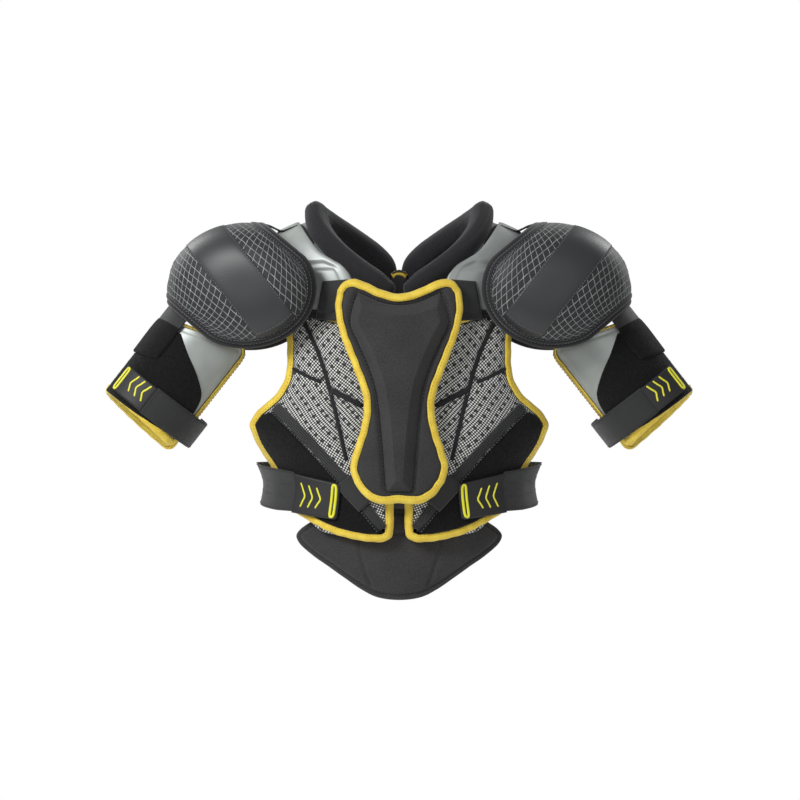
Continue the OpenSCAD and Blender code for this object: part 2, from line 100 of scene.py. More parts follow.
for name, place, size, power, turn in (
    ("key", (-2.0, -1.9, 1.5), 1.0, 84, (60, 0, -46)),
    ("fill", (1.2, -3.0, 0.6), 1.6, 16, (76, 0, 22)),
    ("rim_left", (1.7, 1.9, 1.3), 1.0, 22, (-58, 0, -42)),
    ("rim_right", (-1.7, 1.9, 1.3), 1.0, 22, (-58, 0, 42)),
):
    lamp_data = bpy.data.lights.new(name, "AREA")
    lamp_data.size = size
    lamp_data.energy = power
    lamp = bpy.data.objects.new(name, lamp_data)
    lamp.location = place
    lamp.rotation_euler = [math.radians(a) for a in turn]
    bpy.context.collection.objects.link(lamp)

floor_mesh = bpy.data.meshes.new("floor")
floor_r, floor_z, floor_n = 1.3, -0.86, 64
floor_mesh.from_pydata(
    [(floor_r * math.cos(6.2832 * i / floor_n), floor_r * math.sin(6.2832 * i / floor_n), floor_z)
     for i in range(floor_n)], [], [list(range(floor_n))])
floor = bpy.data.objects.new("floor", floor_mesh)
bpy.context.collection.objects.link(floor)
paint = bpy.data.materials.new("studio_floor_paint")
paint.use_nodes = True
paint.node_tree.nodes["Principled BSDF"].inputs["Base Color"].default_value = linear("#ffffff")
paint.node_tree.nodes["Principled BSDF"].inputs["Roughness"].default_value = 0.9
floor_mesh.materials.append(paint)

# ---------------------------------------------------------------- shoulder arches
# Two bands of moulded, laminated foam that sit on the shoulders and carry everything else.
# Silver film is laminated to the foam in the press, which also raises the ribs.
rng = np.random.default_rng(7)
SIDES = (("left", 1), ("right", -1))
cloth_frames = 20
seam_drop = 86
arch_t = 12


def length_along(points):
    """How far along a line each of its points lies."""
    return np.concatenate([[0], np.cumsum(np.linalg.norm(np.diff(points, axis=0), axis=1))])


def sampled(points, run, at):
    """The points at the given distances along a line whose own points lie at run."""
    return np.stack([np.interp(at, run, points[:, k]) for k in range(points.shape[1])], axis=-1)


def looped(points):
    """A loop's points with the first one again at the end."""
    return np.vstack([points, points[:1]])


def full_turn(count):
    """Even angles round a circle, in radians."""
    return np.linspace(0, 2 * math.pi, count, endpoint=False)


def flow(table):
    """A smooth function through (place, value) pairs, without overshoot between them."""
    place, value = np.array(sorted(table), float).T
    slope = np.diff(value) / np.diff(place)
    tangent = np.zeros(len(value))
    tangent[0], tangent[-1] = slope[0], slope[-1]
    same = slope[:-1] * slope[1:] > 0
    tangent[1:-1] = np.where(same, 2 * slope[:-1] * slope[1:] / np.where(same, slope[:-1] + slope[1:], 1), 0)

    def at(z):
        z = np.clip(z, place[0], place[-1])
        i = np.clip(np.searchsorted(place, z) - 1, 0, len(slope) - 1)
        h = place[i + 1] - place[i]
        t = (z - place[i]) / h
        return ((1 + 2 * t) * (1 - t) ** 2 * value[i] + t * (1 - t) ** 2 * h * tangent[i]
                + t * t * (3 - 2 * t) * value[i + 1] - t * t * (1 - t) * h * tangent[i + 1])
    return at


def curve_through(points, step):
    """Evenly spaced points, step mm apart, on a smooth curve through the given ones."""
    p = np.array(points, float)
    p = np.vstack([2 * p[0] - p[1], p, 2 * p[-1] - p[-2]])
    fine = []
    for i in range(1, len(p) - 2):
        a, b, c, d = p[i - 1:i + 3]
        ta, tb, tc = (max(np.linalg.norm(v), 1e-6) ** 0.5 for v in (b - a, c - b, d - c))
        m0 = (b - a) / ta - (c - a) / (ta + tb) + (c - b) / tb
        m1 = (c - b) / tb - (d - b) / (tb + tc) + (d - c) / tc
        t = np.linspace(0, 1, 24, endpoint=False)[:, None]
        fine.append((2 * t**3 - 3 * t**2 + 1) * b + (t**3 - 2 * t**2 + t) * m0 * tb
                    + (3 * t**2 - 2 * t**3) * c + (t**3 - t**2) * m1 * tb)
    fine.append(p[-2][None])
    fine = np.vstack(fine)
    run = length_along(fine)
    count = step if isinstance(step, int) else max(4, int(round(run[-1] / step)))
    at = np.linspace(0, run[-1], count + 1)
    return sampled(fine, run, at)


def mesh_object(name, points, faces, uv=None):
    """A mesh object from points in millimetres, with a cloth map in metres if uv is given."""
    data = bpy.data.meshes.new(name)
    data.from_pydata((np.asarray(points) * MM).tolist(), [], [tuple(map(int, f)) for f in faces])
    if uv is not None:
        layer = data.uv_layers.new(name="cloth")
        index = np.empty(len(data.loops), int)
        data.loops.foreach_get("vertex_index", index)
        layer.data.foreach_set("uv", (np.asarray(uv)[index] * MM).ravel())
    data.validate()
    data.polygons.foreach_set("use_smooth", [True] * len(data.polygons))
    made = bpy.data.objects.new(name, data)
    bpy.context.collection.objects.link(made)
    return made


def turn_outwards(made):
    """Winds every face of a closed mesh so that it looks outwards."""
    work = bmesh.new()
    work.from_mesh(made.data)
    bmesh.ops.recalc_face_normals(work, faces=work.faces)
    work.to_mesh(made.data)
    work.free()
    return made


def cloth_map(grid):
    """How far each point of a grid lies along its row and down its column, in millimetres."""
    across = np.zeros(grid.shape[:2])
    across[:, 1:] = np.cumsum(np.linalg.norm(np.diff(grid, axis=1), axis=2), axis=1)
    middle = across[:, [grid.shape[1] // 2]]
    down = np.zeros(grid.shape[:2])
    down[1:] = np.cumsum(np.linalg.norm(np.diff(grid, axis=0), axis=2), axis=0)
    column = down[:, [grid.shape[1] // 2]]
    return np.stack([across - middle, -(column + 0 * down)], axis=2)


def layer(name, outer, inner, closed=False):
    """A closed solid between two grids. closed joins the last row to the first."""
    rows, cols = outer.shape[:2]
    n = rows * cols
    index = np.arange(n).reshape(rows, cols)
    if closed:
        index = looped(index)
    a, b = index[:-1, :-1].ravel(), index[:-1, 1:].ravel()
    c, d = index[1:, 1:].ravel(), index[1:, :-1].ravel()
    faces = [np.stack([a, d, c, b], 1), np.stack([a, b, c, d], 1) + n]
    edges = [index[:, 0], index[::-1, -1]]
    if not closed:
        edges += [index[0, ::-1], index[-1]]
    for edge in edges:
        faces.append(np.stack([edge[:-1], edge[1:], edge[1:] + n, edge[:-1] + n], 1))
    uv = cloth_map(outer).reshape(-1, 2)
    points = np.vstack([outer.reshape(-1, 3), inner.reshape(-1, 3)])
    return turn_outwards(mesh_object(name, points, np.vstack(faces), np.vstack([uv, uv])))


def sweep(name, rings, closed=True):
    """A tube through rings of points, joined end to end or capped."""
    m, k = rings.shape[:2]
    index = np.arange(m * k).reshape(m, k)
    wrap = np.hstack([index, index[:, :1]])
    if closed:
        wrap = looped(wrap)
    a, b = wrap[:-1, :-1].ravel(), wrap[:-1, 1:].ravel()
    c, d = wrap[1:, 1:].ravel(), wrap[1:, :-1].ravel()
    faces = np.stack([a, b, c, d], 1).tolist()
    if not closed:
        faces += [index[0, ::-1].tolist(), index[-1].tolist()]
    along = np.zeros((m, k))
    along[1:] = np.cumsum(np.linalg.norm(np.diff(rings, axis=0), axis=2), axis=0)
    along = np.repeat(along.mean(axis=1)[:, None], k, axis=1)
    around = np.zeros((m, k))
    around[:, 1:] = np.cumsum(np.linalg.norm(np.diff(rings, axis=1), axis=2), axis=1)
    uv = np.stack([along, around], axis=2).reshape(-1, 2)
    return turn_outwards(mesh_object(name, rings.reshape(-1, 3), faces, uv))


def stitch_row(name, path, normal, pitch=3.6, length=2.7, radius=0.34):
    """A row of sewn stitches: short threads that rise out of the cloth and dip back in."""
    path, normal = np.asarray(path, float), np.asarray(normal, float)
    run = length_along(path)
    count = max(1, int(run[-1] / pitch))
    starts = (np.arange(count) + 0.5) * run[-1] / count - length / 2
    rise = np.array([-0.5, 0.55, 0.8, 0.8, 0.55, -0.5]) * radius * 1.5
    thick = np.array([0.25, 0.9, 1, 1, 0.9, 0.25]) * radius
    along, sides = len(thick), 6
    each = along * sides
    at = starts[:, None] + np.linspace(0, 1, along)[None] * length
    centre = sampled(path, run, at)
    up = sampled(normal, run, at)
    up /= np.linalg.norm(up, axis=2, keepdims=True)
    ahead = np.gradient(centre, axis=1)
    ahead /= np.linalg.norm(ahead, axis=2, keepdims=True) + 1e-9
    side = np.cross(ahead, up)
    centre = centre + up * rise[None, :, None]
    angles = np.arange(sides) * math.pi / 3
    ring = (centre[:, :, None] + thick[None, :, None, None] * (
        side[:, :, None] * np.cos(angles)[None, None, :, None]
        + up[:, :, None] * np.sin(angles)[None, None, :, None]))
    points = ring.reshape(-1, 3)
    one = np.arange(each).reshape(along, sides)
    wrap = np.hstack([one, one[:, :1]])
    quads = np.stack([wrap[:-1, :-1].ravel(), wrap[:-1, 1:].ravel(),
                      wrap[1:, 1:].ravel(), wrap[1:, :-1].ravel()], 1)
    faces = (quads[None] + each * np.arange(count)[:, None, None]).reshape(-1, 4).tolist()
    for base in range(0, each * count, each):
        faces.append(list(range(base + sides - 1, base - 1, -1)))
        faces.append(list(range(base + each - sides, base + each)))
    return mesh_object(name, points, faces)


def join(name, *made):
    """Several objects as one."""
    bpy.ops.object.select_all(action="DESELECT")
    for one in made:
        one.select_set(True)
    bpy.context.view_layer.objects.active = made[0]
    if len(made) > 1:
        bpy.ops.object.join()
    made[0].name = name
    made[0].data.name = name
    return made[0]


def settle(made, surface, body, slot, *nodes, padded=None):
    """body may also be (body, body, start, end), for a piece between two bodies; such a piece only has its
    transform baked in and is attached to neither.
    """
    made.data.materials.clear()
    made.data.materials.append(surface)
    if isinstance(body, tuple):
        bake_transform(made)
    else:
        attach(made, body)
    if nodes:
        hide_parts(*nodes)


def swell(made, most, sewn, reach=7.0, cell=5.0, pressure=4.0, firm=12.0):
    """How a piece's points move, in mm, when its cover is blown up as cloth over the foam.

    The cover is simulated on a coarse copy, held within reach mm of the sewn points, and no point
    goes further than most. firm is the cover's stiffness. The fine mesh keeps its seams and
    follows the copy.
    """
    still = np.zeros((len(made.data.vertices), 3))
    skin = made.copy()
    skin.data = made.data.copy()
    bpy.context.collection.objects.link(skin)
    coarse = skin.modifiers.new("coarse", "REMESH")
    coarse.mode, coarse.voxel_size = "VOXEL", cell * MM
    skin.data = bpy.data.meshes.new_from_object(skin.evaluated_get(bpy.context.evaluated_depsgraph_get()))
    skin.modifiers.clear()
    rest = np.empty(len(skin.data.vertices) * 3)
    skin.data.vertices.foreach_get("co", rest)
    rest = rest.reshape(-1, 3)
    seams = kdtree.KDTree(len(sewn))
    for i, point in enumerate(np.asarray(sewn) * MM):
        seams.insert(point, i)
    seams.balance()
    held = skin.vertex_groups.new(name="held")
    for i, point in enumerate(rest):
        far = seams.find(point)[2]
        held.add([i], float(np.clip(2 - far / (reach * MM), 0, 1)) if far < 2 * reach * MM else 0.0,
                 "REPLACE")
    cloth = skin.modifiers.new("cover", "CLOTH")
    cloth.settings.quality = 4
    cloth.settings.mass = 0.2
    cloth.settings.tension_stiffness = cloth.settings.compression_stiffness = firm
    cloth.settings.bending_stiffness = 0.6
    cloth.settings.use_pressure = True
    cloth.settings.uniform_pressure_force = pressure
    cloth.settings.vertex_group_mass = "held"
    cloth.settings.effector_weights.gravity = 0
    cloth.collision_settings.use_collision = False
    for now in range(1, cloth_frames + 1):
        bpy.context.scene.frame_set(now)
    after = np.empty(len(rest) * 3)
    skin.evaluated_get(bpy.context.evaluated_depsgraph_get()).data.vertices.foreach_get("co", after)
    move = (after.reshape(-1, 3) - rest) / MM
    move[~np.isfinite(move).all(axis=1)] = 0
    far = np.linalg.norm(move, axis=1, keepdims=True)
    move *= most * np.tanh(far / most) / np.maximum(far, 1e-6)
    near = kdtree.KDTree(len(rest))
    for i, point in enumerate(rest):
        near.insert(point, i)
    near.balance()
    for i, vertex in enumerate(made.data.vertices):
        found = near.find_n(vertex.co, 5)
        weight = np.array([1 / (f[2] + 0.5 * MM) for f in found])
        still[i] = (move[[f[1] for f in found]] * weight[:, None]).sum(0) / weight.sum()
    bpy.context.scene.frame_set(1)
    bpy.data.objects.remove(skin)
    return still


def move_points(made, shift):
    """Moves a piece's points by a shift in mm each."""
    here = np.empty(len(made.data.vertices) * 3)
    made.data.vertices.foreach_get("co", here)
    made.data.vertices.foreach_set("co", here + (shift * MM).ravel())
    made.data.update()
    return made


def material(name, base, roughness, metallic=0.0, sheen=0.0, specular=0.5):
    """A principled material with its even values set on the shader itself."""
    made = bpy.data.materials.new(name)
    made.use_nodes = True
    shader = made.node_tree.nodes["Principled BSDF"]
    shader.inputs["Base Color"].default_value = linear(base)
    shader.inputs["Roughness"].default_value = roughness
    shader.inputs["Metallic"].default_value = metallic
    shader.inputs["Sheen Weight"].default_value = sheen
    shader.inputs["Sheen Roughness"].default_value = 0.5
    shader.inputs["Specular IOR Level"].default_value = specular
    return made, made.node_tree, shader


def noise(tree, place, size_mm, detail):
    """A noise texture size_mm across on the coordinates of the socket place."""
    return add(tree, "TexNoise", None, {"Vector": place, "Scale": per_metre(size_mm), "Detail": detail})


def colour_from(tree, shader, value, *stops):
    """Colours a shader from a 0 to 1 value, through (position, hex colour) stops."""
    tone = add(tree, "ValToRGB", None, {"Fac": value})
    for element, (position, code) in zip(tone.color_ramp.elements, stops):
        element.position, element.color = position, linear(code)
    tree.links.new(tone.outputs["Color"], shader.inputs["Base Color"])


def calculate(tree, operation, *values):
    """A math node fed in order with numbers, sockets or nodes."""
    return add(tree, "Math", {"operation": operation}, dict(enumerate(values)))


def rib_scale(size_mm):
    """A wave texture's scale for ribs size_mm apart."""
    return per_metre(size_mm) * math.pi / 10


def bump_from(tree, shader, height, depth_mm):
    """Turns a 0 to 1 height into relief depth_mm deep."""
    relief = add(tree, "Bump", None, {"Height": height, "Distance": depth_mm * MM, "Strength": 1.0})
    tree.links.new(relief.outputs["Normal"], shader.inputs["Normal"])


def per_metre(size_mm):
    """How many of a pattern's repeats fit in a metre."""
    return 1000 / size_mm


# Silver laminate: a satin metallic film pressed on foam. It gives soft broad highlights, with a
# fine pebble from the mould, 0.9 mm across, and slow changes of brightness where the film stretched.
silver_film, tree, shader = material("silver_laminate", "#a2a7a5", 0.46, metallic=0.35, specular=0.45)
coords = add(tree, "TexCoord")
pebble = noise(tree, coords.outputs["Object"], 0.9, 2.0)
drift = noise(tree, coords.outputs["Object"], 60, 3.0)
colour_from(tree, shader, drift.outputs["Fac"], (0.3, "#8f9492"), (0.7, "#a9aeab"))
wear = add(tree, "MapRange", None, {"Value": drift.outputs["Fac"], "To Min": 0.38, "To Max": 0.52})
tree.links.new(wear.outputs["Result"], shader.inputs["Roughness"])
bump_from(tree, shader, pebble.outputs["Fac"], 0.06)

# Black thread: bonded polyester, matt, hardly darker than the cloth it lies on.
black_thread, tree, shader = material("black_thread", "#151516", 0.7, sheen=0.2)
grey_thread, tree, shader = material("grey_thread", "#6a6c6c", 0.7, sheen=0.2)

arch_inner = flow([(-90, 48), (-60, 55), (-43, 65), (-34, 79), (-21, 96), (-1, 110), (16, 119), (26, 124)])


def arch_top(x):
    return 17 - 0.45 * (x - 117)


def arch_at(u, a, off):
    """A point on an arch: u from the collar (0) to the arm (1), a degrees round from the chest seam."""
    lift = np.sin(np.radians(a))
    inner = arch_inner(-seam_drop + (seam_drop + 22) * lift)
    x = inner + (141 + 8 * lift - inner) * u
    depth = 80 * np.cos(np.arcsin(x / 174)) + off
    return np.stack([x, -depth * np.cos(np.radians(a)),
                     -seam_drop + (seam_drop + arch_top(x) + off) * lift], axis=-1)


def gap_to(points, line):
    """Distance from each 2D point to a polyline."""
    p = np.asarray(points, float)[..., None, :]
    line = np.asarray(line, float)
    a, d = line[:-1], np.diff(line, axis=0)
    t = np.clip(((p - a) * d).sum(-1) / (d * d).sum(-1), 0, 1)
    return np.linalg.norm(p - (a + t[..., None] * d), axis=-1).min(-1)


def bell(distance, width):
    return np.exp(-(distance / width) ** 2)


def step_up(distance, width):
    """0 at an edge, 1 once width mm inside it, with a round shoulder."""
    t = np.clip(distance / width, 0, 1)
    return np.sqrt(np.clip(1 - (1 - t) ** 2, 0, 1))


def mirror(points, s):
    return points * np.array([s, 1, 1])


u_line = np.linspace(0, 1, 40)
a_line = np.linspace(0.4, 179.6, 150)
arch_u, arch_a = np.meshgrid(u_line, a_line)
flat = arch_at(arch_u, arch_a, arch_t)
edge_gap = np.minimum(np.minimum(arch_u, 1 - arch_u) * np.linalg.norm(
    flat[:, [-1]] - flat[:, [0]], axis=2), np.minimum(arch_a, 180 - arch_a) * 1.9)
pressed = np.zeros(arch_u.shape)
for start in (25, 151):
    centre = start + np.sign(90 - start) * 7 * arch_u
    pressed += np.exp(-(np.abs(arch_a - centre) / 3.1) ** 6) / (1 + np.exp(-(arch_u - 0.16) / 0.012))
crease = np.exp(-((arch_u - 0.16) / 0.012) ** 2) * ((arch_a < 26) | (arch_a > 152))
height = arch_t - 2.0 + 1.9 * step_up(edge_gap, 8) - 2.0 * np.clip(pressed, 0, 1) - 1.1 * crease
for s_name, s in SIDES:
    body_grid = mirror(arch_at(arch_u, arch_a, height), s)
    under = mirror(arch_at(arch_u, arch_a, 0.6 + 1.6 * (1 - step_up(edge_gap, 6))), s)
    arch = layer(f"shoulder_arch_foam_{s_name}", body_grid, under)
    settle(arch, silver_film, "root", "silver_foam", f"shoulder_arch_{s_name}", padded=0.9)
    rows = []
    for at in (0.1, 0.9):
        a = np.linspace(6, 174, 90)
        line = mirror(arch_at(np.full(90, at), a, arch_t - 1.15), s)
        out = mirror(arch_at(np.full(90, at), a, arch_t + 1), s) - line
        rows.append(stitch_row("row", line, out, pitch=4.2, length=3))
    settle(join(f"arch_seam_{s_name}", *rows), grey_thread, "root", "silver_foam")

# ---------------------------------------------------------------- back panel
# Two layers of foam under brushed charcoal fabric, with a yellow bias tape folded round the edge.
# Quilted channels let it bend, and a firm spine pad is stitched down the middle of it.
half_w = flow([(-430, 190), (-360, 172), (-325, 152), (-295, 146), (-272, 153), (-245, 173), (-222, 189),
               (-190, 176), (-160, 163), (-120, 160), (-40, 160)])
front_d = flow([(-430, 100), (-360, 106), (-300, 110), (-200, 108), (-120, 92), (-86, 80), (-40, 70)])
back_d = flow([(-430, 104), (-340, 106), (-260, 98), (-160, 104), (-86, 80), (-30, 66)])


def on_torso(p, off, ref=14, face=-1):
    """A flat point (across, up) laid on the wearer's trunk, off mm out from it. face -1 is the chest."""
    x, z = p[..., 0], p[..., 1]
    a = np.arcsin(np.clip(x / (half_w(z) + ref), -0.999, 0.999))
    depth = front_d(z) if face < 0 else back_d(z)
    return np.stack([(half_w(z) + off) * np.sin(a), face * (depth + off) * np.cos(a), z + 0 * x], axis=-1)


def on_back(p, off):
    """A flat point laid on the wearer's back, off mm out from it."""
    return on_torso(p, off, face=1)


def both_halves(points):
    """An outline on the +X side and its mirror image, as one run from -X to +X."""
    p = np.array(points, float)
    return np.vstack([p[::-1] * [-1, 1], p[p[:, 0] > 1.5]])


def fill(top, outer, bottom, inner, cols, rows):
    """A grid of flat points between four sides. top and inner start at the same corner."""
    top, bottom = curve_through(top, int(cols)), curve_through(bottom, int(cols))
    outer, inner = curve_through(outer, int(rows)), curve_through(inner, int(rows))
    v, u = np.linspace(0, 1, rows + 1)[:, None, None], np.linspace(0, 1, cols + 1)[None, :, None]
    return ((1 - v) * top[None] + v * bottom[None] + (1 - u) * inner[:, None] + u * outer[:, None]
            - (1 - v) * (1 - u) * top[0] - (1 - v) * u * top[-1]
            - v * (1 - u) * bottom[0] - v * u * bottom[-1])


def rim_of(grid):
    """The closed loop round a grid."""
    return np.vstack([grid[0, :-1], grid[:-1, -1], grid[-1, :0:-1], grid[:0:-1, 0]])


def smooth_loop(values, reach, closed=True):
    """A running mean over reach points each way."""
    total = np.zeros_like(values)
    for k in range(-reach, reach + 1):
        if closed:
            total += np.roll(values, k, axis=0)
        else:
            total += values[np.clip(np.arange(len(values)) + k, 0, len(values) - 1)]
    return total / (2 * reach + 1)


def inward(line, closed=True):
    """Unit directions to the inside of a flat outline."""
    if closed:
        ahead = np.roll(line, -1, 0) - np.roll(line, 1, 0)
    else:
        ahead = np.gradient(line, axis=0)
    ahead = smooth_loop(ahead, 3, closed)
    ahead /= np.linalg.norm(ahead, axis=1, keepdims=True) + 1e-9
    area = (line[:, 0] * np.roll(line[:, 1], -1) - np.roll(line[:, 0], -1) * line[:, 1]).sum()
    turn = np.sign(area)
    return np.stack([-ahead[:, 1], ahead[:, 0]], axis=1) * turn


def even_loop(line, step, closed=True):
    """The same outline with its points step mm apart."""
    if closed:
        line = looped(line)
    run = length_along(line)
    count = int(run[-1] / step)
    at = np.linspace(0, run[-1], count, endpoint=not closed)
    return sampled(line, run, at)


def tucked(grid, by=2.6):
    """A grid drawn in a little from its outline, so the tape closes round it."""
    rim = rim_of(grid)
    into, flat = inward(rim), grid.reshape(-1, 2)
    apart = np.linalg.norm(flat[:, None] - rim[None], axis=2)
    ease = by * np.clip(1 - apart.min(1) / 14, 0, 1)
    return (flat + into[apart.argmin(1)] * ease[:, None]).reshape(grid.shape)


def folded_tape(name, line, surface, top, bottom, width=9.5, closed=True, lift=1.2):
    """Bias tape round an edge: along one face, round, and back along the other. Returns tape and thread.

    width is in mm, one value or one for each point of the line.
    """
    into = inward(line, closed)
    width = np.broadcast_to(width, len(line))[:, None]
    middle = (top + bottom) / 2
    skin = [(width, top + 0.2), (width - 0.7, top + lift * 0.8), (width * 0.62, top + lift),
            (3.2, top + 0.75 * lift),
            (1.1, top - 0.9), (0.1, top - 2.8), (-0.3, middle), (0.1, bottom + 2.8), (1.1, bottom + 0.9),
            (3.2, bottom - 0.75 * lift), (width * 0.62, bottom - lift), (width, bottom - 0.2),
            (width - 0.5, bottom + 0.4), (2.6, bottom + 1.4), (1.5, middle), (2.6, top - 1.4),
            (width - 0.5, top - 0.4)]
    rings = np.stack([surface(line + into * inset, np.full(len(line), off)) for inset, off in skin], axis=1)
    sway = 0.16 * np.sin(np.arange(len(line)) * 0.9) * (rng.random(len(line)) * 0.6 + 0.7)
    rings += sway[:, None, None] * (rings[:, 2:3] - rings[:, 16:17]) / 2.5
    tape = sweep(name, rings, closed)
    seam_flat = line + into * (width - 1.9)
    if closed:
        seam_flat = looped(seam_flat)
    n = len(seam_flat)
    seam = surface(seam_flat, np.full(n, top + lift * 0.86))
    seam_up = surface(seam_flat, np.full(n, top + lift + 3)) - seam
    threads = stitch_row(name + "_stitch", seam, seam_up, pitch=4.4, length=2.9, radius=0.36)
    return tape, threads


def bind(body, nodes, name, *where, **shape):
    """Binds an edge with yellow tape, sewn on with yellow thread."""
    tape, threads = folded_tape(name, *where, **shape)
    settle(tape, yellow_tape, body, "yellow_binding", *nodes)
    settle(threads, yellow_thread, body, "yellow_binding")


# Bias tape: a woven polyester tape in yellow. It gives a soft, nearly matt colour with fine ribs
# 0.8 mm apart across its length and slightly darker hollows between them.
yellow_tape, tree, shader = material("yellow_bias_tape", "#e0c63c", 0.62, sheen=0.25)
weave_map = add(tree, "UVMap", {"uv_map": "cloth"})
ribs_wave = add(tree, "TexWave", {"bands_direction": "X"}, {
    "Vector": weave_map.outputs["UV"], "Scale": rib_scale(0.8), "Distortion": 0.6, "Detail": 1.0})
shade = noise(tree, weave_map.outputs["UV"], 14, 4.0)
colour_from(tree, shader, shade.outputs["Fac"], (0.32, "#d8b62c"), (0.68, "#ead045"))
bump_from(tree, shader, ribs_wave.outputs["Fac"], 0.12)
yellow_thread, tree, shader = material("yellow_thread", "#cfae2c", 0.6, sheen=0.3)


def brushed_fabric(name, dark, light):
    """Brushed polyester over foam: matt, with a pale fuzz at grazing angles and a fine mottled grain."""
    made, tree, shader = material(name, dark, 0.86, sheen=0.18, specular=0.25)
    place = add(tree, "TexCoord")
    grain = noise(tree, place.outputs["Object"], 1.1, 3.0)
    patches = noise(tree, place.outputs["Object"], 45, 2.0)
    mixed = calculate(tree, "MULTIPLY_ADD", patches.outputs["Fac"], 0.35, grain.outputs["Fac"])
    colour_from(tree, shader, mixed.outputs["Value"], (0.45, dark), (0.85, light))
    bump_from(tree, shader, grain.outputs["Fac"], 0.22)
    return made


charcoal_fabric = brushed_fabric("charcoal_brushed_polyester", "#262526", "#3b3a3b")
black_fabric = brushed_fabric("black_brushed_polyester", "#121215", "#232327")

panel_t = 14
tape_w = 9.5
back_top = [(2, -89), (70, -89), (141, -91)]
back_outer = [(141, -91), (140, -150), (150, -186), (170, -212), (179, -224), (166, -256), (146, -290),
              (124, -330)]
back_bottom = [(124, -330), (70, -346), (2, -350)]


def whole(top, outer, bottom, cols, rows):
    """The grid of a pad whose outline is the same on both sides of the middle."""
    left_side = np.array(outer, float) * [-1, 1]
    return fill(both_halves(top), outer, both_halves(bottom[::-1]), left_side, cols, rows)


def pad_height(grid, full, edge, bottom, outline, taper=14, tape=tape_w):
    """Upper and lower heights of a pad: low under its tape, then rising to full thickness."""
    gap = gap_to(grid, looped(outline))
    upper = edge - 0.4 + (full - edge + 0.4) * step_up(gap - tape + 1, taper)
    upper = np.where(gap < 2.5, upper - (2.5 - gap) * 0.9, upper)
    lower = bottom + 1.5 * (1 - step_up(gap - 1, tape))
    return upper, lower, gap


back_grid = whole(back_top, back_outer, back_bottom, 150, 128)
back_rim = rim_of(back_grid)
height, under, gap = pad_height(back_grid, panel_t - 0.6, 10.8, 0.9, back_rim, 22)
across = np.abs(back_grid[..., 0])
level = back_grid[..., 1]
back_channels = [[(58, -100), (66, -200), (62, -334)], [(60, -150), (140, -170)], [(64, -212), (165, -222)],
                 [(64, -276), (146, -284)]]
for line in back_channels:
    height -= 3.2 * bell(gap_to(np.stack([across, level], -1), curve_through(line, 4.0)),
                         3.2) * step_up(gap - 9, 6)
back_fill = tucked(back_grid)
back = layer("back_panel_foam", on_back(back_fill, height), on_back(back_fill, under))
back_line = even_loop(back_rim, 3)
sewn = [on_back(curve_through(line, 4.0) * [s, 1], panel_t - 3) for line in back_channels for s in (1, -1)]
sewn.append(on_back(back_line, 6))
move_points(back, swell(back, 3.0, np.vstack(sewn), reach=8))
settle(back, charcoal_fabric, "root", "charcoal_foam", "back_panel", padded=0.85)
bind("root", ["back_binding"], "back_tape", back_line, on_back, 11, 0.8, width=tape_w)

rows = []
for line in ([(58, -104), (66, -200), (62, -330)], [(68, -152), (134, -169)], [(70, -213), (158, -222)],
             [(70, -277), (140, -284)]):
    for s in (1, -1):
        flat = curve_through(line, 3.0) * [s, 1]
        low = on_back(flat, panel_t - 3.2)
        rows.append(stitch_row("row", low, on_back(flat, panel_t + 2) - low, pitch=4.2))
settle(join("back_quilting", *rows), black_thread, "root", "charcoal_foam")

# ---------------------------------------------------------------- neck yoke
# A small bridge of foam under the nape that joins the back panel to the ends of the collar.
yoke_top = [(0, -30.5), (9, -34)]
yoke_outer = [(9, -34), (13, -54), (34, -68), (42, -86)]
yoke_bottom = [(42, -86), (0, -87.5)]
yoke_grid = whole(yoke_top, yoke_outer, yoke_bottom, 40, 32)
yoke_rim = rim_of(yoke_grid)
gap = gap_to(yoke_grid, looped(yoke_rim))
yoke = layer("neck_yoke_foam", on_back(yoke_grid, 9 + 4.4 * step_up(gap, 9)),
             on_back(yoke_grid, 4.5 - 3 * step_up(gap, 7)))
settle(yoke, charcoal_fabric, "root", "charcoal_foam", "neck_yoke", padded=0.8)
top_arc = np.array([(-11, -36), (-6, -32.4), (0, -31.4), (6, -32.4), (11, -36)], float)
bind("root", [], "yoke_tape", even_loop(curve_through(top_arc, 2.0), 2.5, False),
     on_back, 9.6, 3.2, width=7.5, closed=False, lift=2.4)

# ---------------------------------------------------------------- spine pad
# A firm pad over a thin plastic plate down the middle of the back, with three grooves across it.
spine_top = [(0, -92), (26, -93), (44, -104)]
spine_outer = [(44, -104), (46, -140), (38, -190), (42, -250), (48, -300), (40, -322)]
spine_bottom = [(40, -322), (22, -332), (0, -334)]
spine_grid = whole(spine_top, spine_outer, spine_bottom, 60, 150)
spine_rim = rim_of(spine_grid)
height, under, gap = pad_height(spine_grid, 30, 26, 17.6, spine_rim, 14, 5)
spine_grooves = (-150, -212, -274)
for z in spine_grooves:
    groove = np.abs(spine_grid[..., 1] - z + 0.12 * np.abs(spine_grid[..., 0]))
    height -= 3.4 * bell(groove, 4) * step_up(gap - 7, 5)
from_rib = np.abs(spine_grid[..., 0]) - 15 - 0.02 * spine_grid[..., 1]
rib = 1.6 / (1 + np.exp(np.clip(from_rib * 1.4, -30, 30)))
height += (rib - 1.4) * step_up(gap - 8, 8)
spine_fill = tucked(spine_grid)
spine = layer("spine_pad_foam", on_back(spine_fill, height), on_back(spine_fill, under))
channels = [on_back(np.stack([np.linspace(-40, 40, 30), np.full(30, z)], 1), 27) for z in spine_grooves]
move_points(spine, swell(spine, 2.5, np.vstack([on_back(spine_rim, 22)] + channels), reach=6))
settle(spine, charcoal_fabric, "root", "charcoal_foam", "spine_pad", padded=0.9)
bind("root", ["spine_binding"], "spine_tape", even_loop(spine_rim, 2.6), on_back,
     26, 18, width=5.5, lift=0.9)
black_plastic, tree, shader = material("black_polyethylene", "#1b1c1d", 0.42, specular=0.45)
